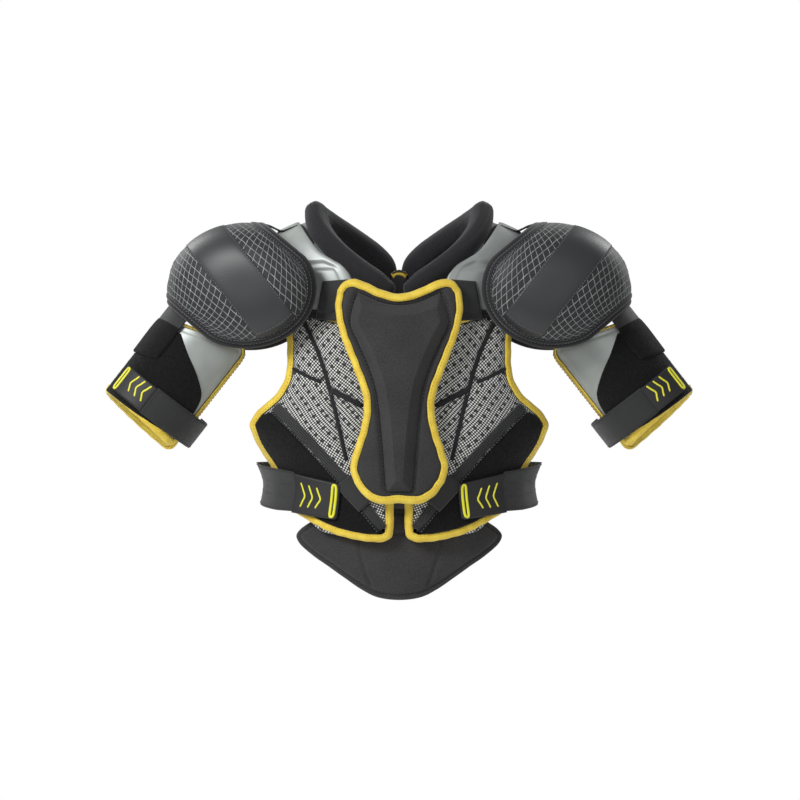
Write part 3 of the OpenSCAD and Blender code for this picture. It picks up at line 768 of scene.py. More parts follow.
place = add(tree, "TexCoord")
scuff = noise(tree, place.outputs["Object"], 1.6, 3.0)
wear = add(tree, "MapRange", None, {"Value": scuff.outputs["Fac"], "To Min": 0.34, "To Max": 0.52})
tree.links.new(wear.outputs["Result"], shader.inputs["Roughness"])
bump_from(tree, shader, scuff.outputs["Fac"], 0.05)
plate_line = spine_grid * [0.84, 1] + (spine_grid - [0, -213]) * [0, -0.06]
plate = layer("spine_plate_sheet", on_back(plate_line, 16.6), on_back(plate_line, 14.9))
settle(plate, black_plastic, "root", "pe_shell", "spine_plate")

# ---------------------------------------------------------------- collar
# Two soft foam rolls in black brushed fabric that stand up round the neck and end low at the front.
# Each is a sewn tube with a seam along the crest, so its sides crease a little where it bends.


def collar_centre(a):
    height = np.where(a < 90, -70 + 1.18 * a, 36 - 0.0092 * (a - 90) ** 2)
    return np.stack([101 * np.sin(np.radians(a)), -84 * np.cos(np.radians(a)), height], axis=-1)


sweep_a = np.linspace(4, 160, 130)
nape_end = [(-1, 19.7, 82.5, -24.7), (-1, 16.8, 83, -37.5), (-1, 16, 83, -54), (-1, 17, 82, -69)]
path = curve_through(np.vstack([collar_centre(sweep_a), [k[1:] for k in nape_end]]), 190)
collar_a = np.degrees(np.arctan2(path[:, 0], -path[:, 1]))
along = length_along(path)
ahead = np.gradient(path, axis=0)
ahead /= np.linalg.norm(ahead, axis=1, keepdims=True)
outward = np.stack([np.sin(np.radians(collar_a)), -np.cos(np.radians(collar_a)), 0 * collar_a], axis=1)
outward -= (outward * ahead).sum(1, keepdims=True) * ahead
outward /= np.linalg.norm(outward, axis=1, keepdims=True)
up = np.cross(outward, ahead)
lean = np.radians(10 + 20 * np.sin(np.radians(collar_a)))[:, None]
tall = up * np.cos(lean) + outward * np.sin(lean)
thick = outward * np.cos(lean) - up * np.sin(lean)
to_end = np.minimum(along, along[-1] - along)
taper = np.minimum(1, 0.7 + 0.3 * to_end / 25)
round_end = np.sqrt(np.clip(1 - (1 - np.clip(to_end / 8, 0, 1)) ** 2, 0.03, 1))
turn = full_turn(40)
crease = 1 - 0.05 * np.exp(-((np.cos(turn)[None] - 1) / 0.05) ** 2)
crease = crease - 0.035 * np.exp(-((np.sin(turn[None] - 0.5) + 1) / 0.06) ** 2)
wrinkle = 1 + 0.014 * np.sin(collar_a * 0.55)[:, None] * np.clip(-np.cos(turn), 0, 1)[None] ** 2
size = (taper * round_end)[:, None] * crease * wrinkle
deep = 11 + 2.8 * np.exp(-((collar_a - 75) / 50) ** 2)[:, None]
rings = (path[:, None] + tall[:, None] * (15.6 * np.cos(turn)[None] * size)[..., None]
         + thick[:, None] * (deep * np.sign(np.sin(turn)) * np.abs(np.sin(turn)) ** 0.9 * size)[..., None])
# Below each roll, silver laminate with a black lining runs down to the arch and the back panel.
apron_u, apron_t = np.meshgrid(np.linspace(0, 1, 24), np.linspace(0.02, 0.985, 110))
roll_at = sampled(path, along, apron_t * along[-1])
arch_at_edge = arch_at(0.03 + 0 * apron_t, apron_t * 176 + 2, 8 + 0 * apron_t)
apron = roll_at + (arch_at_edge - roll_at) * apron_u[..., None]
sag = 3.0 * np.sin(apron_u * math.pi)[..., None] * np.array([0.3, 0, -1])
inner_face = apron + np.stack([-2.6 * np.sin(apron_t * math.pi), 2.2 * np.cos(apron_t * math.pi),
                               0 * apron_t], axis=2)
for s_name, s in SIDES:
    skin = layer(f"collar_apron_{s_name}", mirror(apron + sag, s), mirror((apron + inner_face) / 2 + sag, s))
    settle(skin, silver_film, "root", "silver_foam")
    lining = layer(f"collar_lining_{s_name}", mirror((apron + inner_face) / 2 + sag, s),
                   mirror(inner_face + sag, s))
    settle(lining, black_fabric, "root", "black_foam")
    roll = sweep(f"collar_roll_foam_{s_name}", mirror(rings, s), closed=False)
    if s == 1:
        puffed = swell(roll, 3.0, np.vstack([rings[4:-4, 0], rings[4:-4, 26], rings[:3, 5], rings[-3:, 5]]),
                       reach=3, cell=4.5, pressure=400, firm=0.5)
    move_points(roll, puffed * [s, 1, 1])
    settle(roll, black_fabric, "root", "black_foam", f"collar_roll_{s_name}", padded=0.9)
    crest = mirror(rings[4:-4, 0], s)
    inner_seam = mirror(rings[6:-6, 26], s)
    rows = [stitch_row("row", crest, mirror(tall[4:-4], s), pitch=4.2, length=3),
            stitch_row("row", inner_seam, mirror(-thick[6:-6] - 0.2 * tall[6:-6], s), pitch=4.2, length=3)]
    settle(join(f"collar_seam_{s_name}", *rows), black_thread, "root", "black_foam")

# ---------------------------------------------------------------- chest panels
# Two open-front panels of foam under a grey spacer mesh, with seams pressed and sewn into it; the black
# strips in the seams are partly real seam, partly painted shade.
# The lower outer half is faced with loop pile under a ribbed webbing band, and the edge is bound.
chest_top = [(7, -104), (60, -97), (80, -97), (107, -88.5), (141, -88.5)]
chest_outer = [(141, -88.5), (138.5, -120), (139, -158), (144, -173), (154, -187), (172, -202), (182, -215),
               (184, -222), (177, -244), (158, -275), (140, -306), (126, -329)]
chest_bottom = [(126, -329), (108, -339), (81, -352), (53, -359), (33, -361.5), (19, -361), (10, -356),
                (7, -345)]
chest_inner = [(7, -345), (7, -104)]
main_seam = [(117, -97), (97, -140), (80, -196), (64, -264)]
upper_cross = [(131, -153.6), (108, -165), (95, -170.4)]
lower_cross = [(82, -180), (64, -189), (45, -199)]
band_line = [(149, -200), (118, -231), (67, -287), (20, -346)]


def lattice(tree, place, pitch_mm, angle, radius, soft):
    """A mask of round dots on a square grid: 1 inside a dot, 0 outside."""
    turned = add(tree, "Mapping", None, {"Vector": place, "Rotation": (0, 0, math.radians(angle)),
                                         "Scale": (per_metre(pitch_mm),) * 3})
    cell = add(tree, "VectorMath", {"operation": "FRACTION"}, {0: turned})
    middle = add(tree, "VectorMath", {"operation": "SUBTRACT"}, {0: cell, 1: (0.5, 0.5, 0)})
    flat = add(tree, "VectorMath", {"operation": "MULTIPLY"}, {0: middle, 1: (1, 1, 0)})
    far = add(tree, "VectorMath", {"operation": "LENGTH"}, {0: flat})
    return add(tree, "MapRange", {"interpolation_type": "SMOOTHSTEP"}, {
        "Value": far.outputs["Value"], "From Min": radius + soft,
        "From Max": radius - soft}).outputs["Result"]


# Spacer mesh: a warp knit whose pale face yarns stand 3 mm apart over a black ground, with an open
# black eyelet every 11 mm. It reads as light grey, finely speckled, and matt.
spacer_mesh, tree, shader = material("grey_spacer_mesh", "#8c8e8c", 0.8, sheen=0.15, specular=0.3)
weave_map = add(tree, "UVMap", {"uv_map": "cloth"})
yarn = lattice(tree, weave_map.outputs["UV"], 3.05, 52, 0.37, 0.05)
eyelet = lattice(tree, weave_map.outputs["UV"], 11.2, 52, 0.215, 0.04)
shade = noise(tree, weave_map.outputs["UV"], 30, 3.0)
pale = add(tree, "MixRGB", None, {"Fac": shade.outputs["Fac"], "Color1": linear("#cfd1ce"),
                                  "Color2": linear("#eaebe8")})
face_yarn = add(tree, "MixRGB", None, {"Fac": yarn, "Color1": linear("#101112"), "Color2": pale})
open_eye = calculate(tree, "MULTIPLY", eyelet, 0.92)
ground = add(tree, "MixRGB", None, {"Fac": open_eye, "Color1": face_yarn, "Color2": linear("#101112")})
tree.links.new(ground.outputs["Color"], shader.inputs["Base Color"])
raised = calculate(tree, "MULTIPLY", calculate(tree, "SUBTRACT", 1.0, eyelet), yarn)
bump_from(tree, shader, raised.outputs["Value"], 0.5)

# Loop pile: the soft half of a hook and loop fastener. Dense black nylon loops about 0.8 mm across
# make a deep black with a broken, slightly glinting surface.
loop_pile, tree, shader = material("black_loop_pile", "#0b0b0c", 0.85, sheen=0.08, specular=0.2)
place = add(tree, "TexCoord")
loops = add(tree, "TexVoronoi", None, {"Vector": place.outputs["Object"], "Scale": per_metre(0.8)})
tufts = noise(tree, place.outputs["Object"], 2.6, 4.0)
colour_from(tree, shader, tufts.outputs["Fac"], (0.4, "#040405"), (0.72, "#131314"))
pile = calculate(tree, "MULTIPLY_ADD", loops.outputs["Distance"], 0.6, tufts.outputs["Fac"])
bump_from(tree, shader, pile.outputs["Value"], 0.7)

# Webbing: flat black polyester with a fine rib across its length, 1.1 mm apart, and a low sheen.
webbing, tree, shader = material("black_webbing", "#1c1d1f", 0.62, sheen=0.2, specular=0.4)
weave_map = add(tree, "UVMap", {"uv_map": "cloth"})
weft = add(tree, "TexWave", {"bands_direction": "X"}, {
    "Vector": weave_map.outputs["UV"], "Scale": rib_scale(1.1), "Distortion": 0.3})
warp = add(tree, "TexWave", {"bands_direction": "Y"}, {
    "Vector": weave_map.outputs["UV"], "Scale": rib_scale(1.4), "Distortion": 0.3})
woven = calculate(tree, "MULTIPLY", weft.outputs["Fac"], warp.outputs["Fac"])
colour_from(tree, shader, woven.outputs["Value"], (0.0, "#18191a"), (1.0, "#2b2c2e"))
bump_from(tree, shader, woven.outputs["Value"], 0.25)


def ribbon(name, line, width, surface, low, high, across=8, crown=None):
    """A flat band along a flat line, from low to high off the surface.

    crown shapes its top, from -1 to 1 across.
    """
    line = np.asarray(line, float)
    into = inward(line, closed=False)
    t = np.linspace(-1, 1, across + 1)
    flat = line[:, None] + into[:, None] * (t * width / 2)[None, :, None]
    shape = np.zeros_like(t) if crown is None else crown(t)
    top = surface(flat, np.broadcast_to(high, flat.shape[:2]) + shape[None])
    return layer(name, top, surface(flat, np.broadcast_to(low, flat.shape[:2]) + 0 * shape[None]))


def stitches_on(surface, line, off, side=0.0, closed=False, pitch=4.0, length=2.8, radius=0.34):
    """Stitches along a flat line laid on a surface, side mm to the inside of it."""
    line = np.asarray(line, float)
    line = line + inward(line, closed) * side
    base = surface(line, np.full(len(line), off))
    return stitch_row("row", base, surface(line, np.full(len(line), off + 2.0)) - base, pitch, length, radius)


def chest_surface(s):
    return lambda p, off: mirror(on_torso(p, off), s)


chest_grid = fill(chest_top, chest_outer, chest_bottom, chest_inner[::-1], 96, 140)
chest_rim = rim_of(chest_grid)
height, under, gap = pad_height(chest_grid, panel_t - 0.4, 11.4, 0.9, chest_rim, 16)
for line, depth in ((main_seam, 3.4), (upper_cross, 2.6), (lower_cross, 2.6)):
    run = curve_through(line, 3.0)
    height -= depth * bell(gap_to(chest_grid, run), 4.2) * step_up(gap - 8, 6)
far = gap_to(chest_grid, curve_through([(139, -104), (112, -160), (96, -232), (84, -262)], 3.0))
height += 0.5 * np.cos(np.clip(far / 26, 0, 1) * math.pi)
loop_top = [(20, -350), (40, -327), (69, -293), (108, -252), (152, -206)]
loop_outer = [(152, -206), (163, -209.5), (171, -217), (172.5, -224), (166, -244), (148, -272), (131, -301),
              (118, -322)]
loop_bottom = [(20, -351), (34, -351.5), (54, -349), (80, -342), (104, -331), (118, -322)]
loop_grid = fill(loop_top, loop_outer, loop_bottom, [(20, -350), (20, -351)], 110, 60)
loop_gap = gap_to(loop_grid, looped(rim_of(loop_grid)))
pile_rough = 0.16 * rng.standard_normal(loop_grid.shape[:2])
loop_height = 14.1 + 1.6 * step_up(loop_gap, 2.5) + pile_rough
band_run = curve_through(band_line, 3.0)
chest_fill = tucked(chest_grid)
for s_name, s in SIDES:
    surface = chest_surface(s)
    panel = layer(f"chest_panel_foam_{s_name}", surface(chest_fill, height), surface(chest_fill, under))
    if s == 1:
        seam_lines = [surface(curve_through(line, 4.0), 12) for line in (main_seam, upper_cross, lower_cross)]
        flat_parts = [surface(chest_rim, off) for off in (2, 7, 11)]
        flat_parts.append(surface(loop_grid[::6, ::6].reshape(-1, 2), 12))
        puffed = swell(panel, 2.8, np.vstack(seam_lines + flat_parts), reach=7)
    move_points(panel, puffed * [s, 1, 1])
    settle(panel, spacer_mesh, "chest", "spacer_mesh", f"chest_panel_{s_name}", padded=0.85)
    edge = np.vstack([curve_through(chest_outer, 3.0)[:-1], curve_through(chest_bottom, 2.5)[:-1],
                      curve_through([(7, -345), (7, -128)], 3.0)])
    bind("chest", [f"chest_binding_{s_name}"], f"chest_tape_{s_name}", edge, surface, 12.4, 0.6,
         width=tape_w, closed=False)
    patch = layer(f"chest_loop_{s_name}", surface(loop_grid, loop_height), surface(loop_grid, 12.0))
    settle(patch, loop_pile, "chest", "loop_pile", f"chest_loop_patch_{s_name}")
    band = ribbon(f"chest_band_{s_name}", band_run, 12.5, surface, 12.0, 15.6, across=40,
                  crown=lambda t: 0.45 * np.cos(t * math.pi * 5) - 1.2 * np.abs(t) ** 8)
    settle(band, webbing, "chest", "webbing")
    # Black strips in the seam grooves: partly the dark seam itself, partly painted shade standing in for the
    # groove's shaded facet.
    seams = []
    for line, width in ((main_seam, 4.6), (upper_cross, 4.2), (lower_cross, 6.5)):
        run = curve_through(line, 2.5)
        off = panel_t - 3.2 if line is main_seam else panel_t - 2.4
        seams.append(ribbon("band", run, width, surface, off - 1.5, off + 0.7,
                            crown=lambda t: 0.9 * np.cos(t * 1.5)))
    settle(join(f"chest_welt_and_painted_shade_{s_name}", *seams), black_fabric, "chest", "charcoal_foam")
    rows = [stitches_on(surface, curve_through(main_seam, 2.5), panel_t - 1.6, 3.8 * s),
            stitches_on(surface, curve_through(upper_cross, 2.5), panel_t - 1.0, 3.4),
            stitches_on(surface, curve_through(lower_cross, 2.5), panel_t - 1.0, 4.6),
            stitches_on(surface, curve_through(lower_cross, 2.5), panel_t - 1.0, -4.6),
            stitches_on(surface, band_run, 15.4, 6.9), stitches_on(surface, band_run, 15.4, -6.9)]
    settle(join(f"chest_stitch_{s_name}", *rows), grey_thread, "chest", "charcoal_foam")

# The two panels are joined behind the sternum pad by an elastic web, and hang from a flexible seam.
web = ribbon("chest_elastic_web", [(0, -120 - 10 * i) for i in range(18)], 66, on_torso, 15.8, 17.0,
             across=24)
settle(web, webbing, "chest", "webbing", "chest_web")

# ---------------------------------------------------------------- sternum pad
# A thick moulded pad over a plastic plate, bound in yellow, with a raised shield down the middle.
# The shield is pressed into the foam, so it has sharp facets, and a sewn channel runs round it.
sternum_ref = 33
sternum_top = [(0, -65), (22, -60), (42, -51), (56, -47), (68, -50), (76, -60)]
sternum_outer = [(76, -60), (78.5, -78), (77, -94), (72, -114), (63, -137), (53, -162), (45, -184),
                 (43, -203),
                 (47, -227), (56, -255), (60, -273), (55, -291)]
sternum_bottom = [(55, -291), (42, -307), (24, -315.5), (0, -314.5)]
shield_top = [(0, -79), (24, -75), (50, -63.5)]
shield_outer = [(50, -63.5), (56, -80), (59, -101), (50, -121), (38, -148), (28.5, -176), (24, -203),
                (19.5, -250), (16, -297)]
shield_bottom = [(16, -297), (13, -301), (0, -301)]


def on_sternum(p, off):
    return on_torso(p, off, ref=sternum_ref)


sternum_grid = whole(sternum_top, sternum_outer, sternum_bottom, 100, 150)
sternum_rim = rim_of(sternum_grid)
shield_grid = whole(shield_top, shield_outer, shield_bottom, 84, 190)
shield_rim = looped(rim_of(shield_grid))
height, under, gap = pad_height(sternum_grid, 32.8, 30.4, 23.4, sternum_rim, 16)
height -= 4.6 * bell(gap_to(sternum_grid, shield_rim), 4.2) * step_up(gap - 7, 5)
sternum_fill = tucked(sternum_grid)
pad = layer("sternum_pad_foam", on_sternum(sternum_fill, height), on_sternum(sternum_fill, under))
move_points(pad, swell(pad, 2.4, np.vstack([on_sternum(sternum_rim, 27), on_sternum(shield_rim, 29),
                                            on_sternum(shield_grid[::8, ::8].reshape(-1, 2), 30)]), reach=6,
                                            pressure=150, firm=1.0))
settle(pad, charcoal_fabric, "sternum", "charcoal_foam", "sternum_pad", padded=0.9)
bind("sternum", ["sternum_binding"], "sternum_tape", even_loop(sternum_rim, 3), on_sternum, 31.2, 22.4,
     width=tape_w)
plate_line = sternum_grid * [0.8, 1] + (sternum_grid - [0, -185]) * [0, -0.1]
plate = layer("sternum_plate_sheet", on_sternum(plate_line, 22.3), on_sternum(plate_line, 20.5))
settle(plate, black_plastic, "sternum", "pe_shell", "sternum_plate")
shield_gap = gap_to(shield_grid, shield_rim)
bevel = 11.5
facet = np.clip((shield_gap - 1.2) / bevel, 0, 1)
shield_height = 29.0 + 1.4 * step_up(shield_gap, 2.2) + 10.8 * facet
shield = layer("sternum_shield", on_sternum(shield_grid, shield_height), on_sternum(shield_grid, 28.0))
settle(shield, charcoal_fabric, "sternum", "charcoal_foam", "sternum_guard", padded=1.0)
channel = even_loop(shield_rim[:-1], 2.5)
rows = [stitches_on(on_sternum, channel, 29.9, -2.4, closed=True, pitch=4.6, length=3.1, radius=0.62)]
settle(join("sternum_channel_stitch", *rows), black_thread, "sternum", "charcoal_foam")

# ---------------------------------------------------------------- belly pad
# A soft flap below the chest panels: thin foam between two layers of fabric, with a sewn border.
belly_top = [(0, -322), (60, -322), (104, -334)]
belly_outer = [(104, -334), (124, -347), (129.5, -355), (126, -364), (107, -380), (90, -391)]
belly_bottom = [(90, -391), (68, -406), (48, -419), (28, -428.5), (0, -432)]
belly_seams = [[(51, -330), (50, -361), (44, -390), (35, -414)], [(0, -352), (30, -352), (52, -349)]]


def on_belly(p, off):
    return on_torso(p, off, ref=0)


belly_grid = whole(belly_top, belly_outer, belly_bottom, 130, 60)
belly_rim = rim_of(belly_grid)
belly_loop = looped(belly_rim)
gap = gap_to(belly_grid, belly_loop)
height = -8.0 + 3.6 * step_up(gap, 3.5) + 2.9 * step_up(gap - 6.5, 16) - 1.5 * bell(gap - 6.5, 1.7)
under = -8.6 - 2.6 * step_up(gap, 3.5) - 1.8 * step_up(gap - 6.5, 12) + 0.9 * bell(gap - 6.5, 1.7)
folded = np.stack([np.abs(belly_grid[..., 0]), belly_grid[..., 1]], axis=-1)
for line in belly_seams:
    height -= 1.8 * bell(gap_to(folded, curve_through(line, 2.0)), 2.2) * step_up(gap - 6, 4)
belly = layer("belly_pad_foam", on_belly(belly_grid, height), on_belly(belly_grid, under))
sewn = [on_belly(even_loop(belly_rim, 3), -8), on_belly(even_loop(belly_rim, 3) * [0.95, 1], -6)]
sewn += [on_belly(curve_through(line, 3.0) * [s, 1], -5) for line in belly_seams for s in (1, -1)]
move_points(belly, swell(belly, 2.4, np.vstack(sewn), reach=6, pressure=30))
settle(belly, charcoal_fabric, "belly", "charcoal_foam", "belly_pad", padded=0.7)
rows = [stitches_on(on_belly, even_loop(belly_rim, 2.5), -4.9, 6.5, closed=True, pitch=3.9)]
for s in (1, -1):
    for line in belly_seams:
        rows.append(stitches_on(on_belly, curve_through(line, 2.5) * [s, 1], -3.2, 0, pitch=3.9))
settle(join("belly_stitch", *rows), black_thread, "belly", "charcoal_foam")

# ---------------------------------------------------------------- sternum straps
# Short webbing straps hold the sternum pad: one from each shoulder arch, and one low on each side.


def on_arch(p, off):
    """A flat point (across, up) laid on the front of a shoulder arch."""
    x, z = p[..., 0], p[..., 1]
    lift = (z + seam_drop) / (seam_drop + arch_top(x) + off)
    depth = 80 * np.cos(np.arcsin(x / 174)) + off
    return np.stack([x + 0 * z, -depth * np.cos(np.arcsin(np.clip(lift, -0.99, 0.99))), z + 0 * x], axis=-1)


def quad(corner_a, corner_b, corner_c, corner_d, cols, rows):
    """A flat grid between four corners: a and b along its top, c and d along its foot."""
    u, v = np.meshgrid(np.linspace(0, 1, cols + 1), np.linspace(0, 1, rows + 1))
    a, b, c, d = (np.array(k, float) for k in (corner_a, corner_b, corner_c, corner_d))
    u, v = u[..., None], v[..., None]
    return (1 - v) * ((1 - u) * a + u * b) + v * ((1 - u) * c + u * d)


def patch_height(grid, low, high, roll=1.6):
    """Heights of a flat band whose edges are rolled down."""
    gap = gap_to(grid, looped(rim_of(grid)))
    return high - (high - low) * 0.45 * (1 - step_up(gap, roll))


def border_stitches(grid, surface, off, inset=2.4):
    """Stitches inside the edge of a grid."""
    return stitches_on(surface, even_loop(rim_of(grid), 2.0), off, inset, closed=True, pitch=3.6, length=2.4,
                       radius=0.3)


def over_seam(p, off):
    """On the shoulder arch above the chest seam and on the chest below it."""
    above = p[..., 1:] > -seam_drop
    return np.where(above, on_arch(p, off), on_torso(p, off))


chest_hinge = ("root", "chest", (0, 0, -0.083), (0, 0, -0.091))
upper_grid = quad((62, -47), (92, -49), (69, -97.5), (101, -95.5), 20, 32)
lower_grid = quad((44, -271), (75, -295), (24, -305), (47, -325.5), 20, 24)
for s_name, s in SIDES:
    for name, grid, body, on, low, high in (
        ("upper_sternum_strap", upper_grid, chest_hinge, lambda p, off: mirror(over_seam(p, off), s), 12.7,
         15.4),
        ("lower_sternum_strap", lower_grid, "chest", lambda p, off: mirror(on_torso(p, off), s), 16.6, 18.8),
    ):
        strap = layer(f"{name}_web_{s_name}", on(grid, patch_height(grid, low, high)), on(grid, low))
        settle(strap, webbing, body, "webbing", f"{name}_{s_name}")
        seam = border_stitches(grid, on, high - 0.1)
        seam.name = f"{name}_stitch_{s_name}"
        settle(seam, black_thread, body, "webbing")
    welt_line = curve_through([(60, -92), (84, -91), (106, -88.2), (140, -87.4)], 2.5)
    welt = ribbon(f"chest_hinge_welt_{s_name}", welt_line, 10.5, lambda p, off: mirror(over_seam(p, off), s),
                  7.5, 12.2,
                  across=12, crown=lambda t: 1.4 * np.cos(t * 1.5))
    settle(welt, black_fabric, chest_hinge, "charcoal_foam")

# ---------------------------------------------------------------- waist straps
# Wide elastic from the back panel, ending in a moulded tab with hooks behind it. The tab presses on
# the loop pile, and has three raised arrows and a slotted pull frame at its tip.


def strap_mid(a):
    return -293 - 14 * np.clip((90 - a) / 64, 0, None)


def around(a, z, off):
    """A point round the trunk, a degrees from the middle of the chest."""
    depth = np.where(np.abs(a) < 90, front_d(z), back_d(z))
    return np.stack([(half_w(z) + off) * np.sin(np.radians(a)), -(depth + off) * np.cos(np.radians(a)),
                     z + 0 * a], -1)


tab_tip = 25.4
mm_per_degree = 2.74
tab_length = 64.5
strap_half = 25


def on_waist_tab(p, off):
    """A flat point (mm back from the tab's tip, mm up from its middle) on the waist tab."""
    a = tab_tip + p[..., 0] / mm_per_degree
    return around(a, strap_mid(a) + p[..., 1] - 1.5 - 5 * (1 - p[..., 0] / tab_length), off)


# Moulded tab: thermoplastic rubber in soft black, matt with a fine spark-eroded grain.
moulded_rubber, tree, shader = material("black_moulded_rubber", "#232325", 0.58, specular=0.42)
place = add(tree, "TexCoord")
grain = noise(tree, place.outputs["Object"], 0.5, 2.0)
bump_from(tree, shader, grain.outputs["Fac"], 0.06)
# Lime rubber: the same rubber in bright yellow, slightly glossier where it stands proud.
lime_rubber, tree, shader = material("lime_moulded_rubber", "#dfdc30", 0.45, specular=0.5)
place = add(tree, "TexCoord")
grain = noise(tree, place.outputs["Object"], 0.7, 2.0)
bump_from(tree, shader, grain.outputs["Fac"], 0.05)


def slot_ring(name, surface, centre, wide, tall, off, radius):
    """A slim frame round a slot: a rod bent to a long rounded loop."""
    t = full_turn(72)
    round_x = np.sign(np.cos(t)) * np.abs(np.cos(t)) ** 0.7
    round_y = np.sign(np.sin(t)) * np.abs(np.sin(t)) ** 0.25
    flat = np.array(centre) + np.stack([round_x * (wide / 2 - radius), round_y * (tall / 2 - radius)], 1)
    flat = even_loop(flat, 0.9)
    out = -inward(flat)
    turn = full_turn(12)
    rings = np.stack([surface(flat + out * radius * math.cos(k),
                              np.full(len(flat), off + radius * 0.9 * math.sin(k)))
                      for k in turn], axis=1)
    return sweep(name, rings)


def arrow(name, surface, points, off, width=2.3):
    """A raised arrow stroke with round ends."""
    line = curve_through([points[0], (np.array(points[0]) + points[1]) / 2, points[1],
                          (np.array(points[1]) + points[2]) / 2, points[2]], 0.6)
    side = smooth_loop(inward(line, closed=False), 1, closed=False)
    n = len(line)
    ends = np.sqrt(np.clip(1 - (1 - np.clip(np.minimum(np.arange(n), np.arange(n)[::-1]) / 2.0, 0.05,
                                            1)) ** 2, 0, 1))
    turn = full_turn(10)
    rings = np.stack([surface(line + side * (width / 2 * math.cos(k) * ends)[:, None],
                              off + 0.75 * math.sin(k) * ends)
                      for k in turn], axis=1)
    return sweep(name, rings, closed=False)


strap_a = np.linspace(48.2, 122.6, 90)
strap_u = np.linspace(-1, 1, 29)
anchor_grid_a, anchor_grid_t = np.meshgrid(np.linspace(122.8, 137, 20), np.linspace(-1, 1, 29))
tab_grid = quad((0, 21.5), (tab_length, 23.5), (0, -21.5), (tab_length, -23.5), 56, 40)
tip_round = np.clip((4 - tab_grid[..., 0]) / 4, 0, 1)
tab_grid[..., 1] *= 1 - 0.1 * tip_round ** 2
for s_name, s in SIDES:
    grid_t, grid_a = np.meshgrid(strap_u, strap_a)
    half = strap_half - 1.6 * np.clip((60 - grid_a) / 12, 0, 1)
    ripple = 0.35 * np.sin(grid_a * 0.42) * (1 - grid_t ** 2)
    z = strap_mid(grid_a) + half * grid_t
    outer = mirror(around(grid_a, z, 20.3 - 0.7 * np.abs(grid_t) ** 8 + ripple * 0.6), s)
    inner = mirror(around(grid_a, z, 18.4 + ripple * 0.6), s)
    elastic = layer(f"waist_elastic_{s_name}", outer, inner)
    swing_from, swing_to = (tuple(around(np.array(at), -293.0,
                                         19.3) * [s, 1, 1] * MM) for at in (122.5, 112.0))
    settle(elastic, webbing, ("root", f"waist_{s_name}", swing_from, swing_to), "webbing",
           f"waist_strap_{s_name}")
    row_a = np.linspace(49, 112, 180)
    rows = []
    for edge in (-0.9, 0.9, -0.3, 0.3):
        line, above = (mirror(around(row_a, strap_mid(row_a) + strap_half * edge, np.full(180, off)), s)
                       for off in (20.1, 22.0))
        rows.append(stitch_row("row", line, above - line, pitch=3.6, length=2.4, radius=0.28))
    settle(join(f"waist_elastic_stitch_{s_name}", *rows), black_thread, f"waist_{s_name}", "webbing")

    z = strap_mid(anchor_grid_a) + 29 * anchor_grid_t
    edge_drop = 1.1 * np.maximum(np.abs(anchor_grid_t), np.abs((anchor_grid_a - 129.9) / 7.1)) ** 10
    anchor = layer(f"strap_anchor_web_{s_name}", mirror(around(anchor_grid_a, z, 19.9 - edge_drop), s),
                   mirror(around(anchor_grid_a, z, 16.2), s))
    settle(anchor, webbing, "root", "webbing", f"strap_anchor_{s_name}")
    corner = np.array([(124.2, -26), (135.6, -26), (135.6, 26), (124.2, 26), (124.2, -26), (135.6, 26)],
                      float)
    steps = np.linspace(0, 1, 20)[:, None]
    run = np.concatenate([corner[i] + (corner[i + 1] - corner[i]) * steps for i in range(5)])
    line = mirror(around(run[:, 0], strap_mid(run[:, 0]) + run[:, 1], 19.8), s)
    box_stitch = stitch_row(f"strap_anchor_stitch_{s_name}", line,
                            mirror(around(run[:, 0], strap_mid(run[:, 0]) + run[:, 1], 22.0), s) - line,
                            pitch=3.4)
    settle(box_stitch, grey_thread, "root", "webbing")

    def on(p, off):
        return mirror(on_waist_tab(p, off), s)

    body = f"waist_tab_{s_name}"
    tab = layer(f"waist_tab_rubber_{s_name}", on(tab_grid, patch_height(tab_grid, 17.6, 20.7, 2.6)),
                on(tab_grid, 17.6))
    settle(tab, moulded_rubber, body, "moulded_tab", f"waist_tab_{s_name}")
    arrows = [arrow("arrow", on, points, 20.7) for points in (
        [(53.5, 14), (46.5, -1), (51, -14.5)], [(41.5, 13), (35, -1), (39.5, -13.5)],
        [(30, 12), (23.5, -1), (29, -12.5)])]
    settle(join(f"waist_tab_arrows_{s_name}", *arrows), lime_rubber, body, "moulded_tab")
    frame_ring = slot_ring(f"waist_slot_ring_{s_name}", on, (6.2, 0), 8.2, 41, 20.7, 1.6)
    settle(frame_ring, lime_rubber, body, "slot_frame", f"waist_slot_frame_{s_name}")
    rows = [stitches_on(on, [(5.5 + i, y) for i in range(56)], 20.6, 0, pitch=3.4, length=2.2,
                        radius=0.28) for y in (19.6, -19.6)]
    rows.append(stitches_on(on, [(61.8, -21 + i) for i in range(43)], 20.6, 0, pitch=3.4, length=2.2,
                            radius=0.28))
    settle(join(f"waist_tab_stitch_{s_name}", *rows), black_thread, body, "moulded_tab")

# ---------------------------------------------------------------- shoulder caps
# Domed caps over each shoulder: a net-printed cover over foam and a moulded shell, with a plain
# coated stripe over the crown, a doubled rolled rim, and a webbing hinge to the arch.
cap_x, cap_drop, cap_half_w, cap_half_h, cap_half_depth = 185, 58, 98, 82, 115
diag = math.cos(math.radians(45))
cap_steps = 60
cover_rim, shell_rim = 0.775, 0.745


def cap_point(across, along, front, inset):
    """A point on a cap. across runs up and towards the neck, along up and away from it; front is 1 or -1."""
    px, pz = (along - across) * diag, (along + across) * diag
    r = np.minimum(1, np.hypot(px, pz))
    y = (1 - r ** 3) ** (1 / 3) * (1 - 0.22 * px)
    return np.stack([cap_x + px * (cap_half_w - inset), -front * y * (cap_half_depth - inset),
                     -cap_drop + pz * (cap_half_h - inset)], axis=-1)


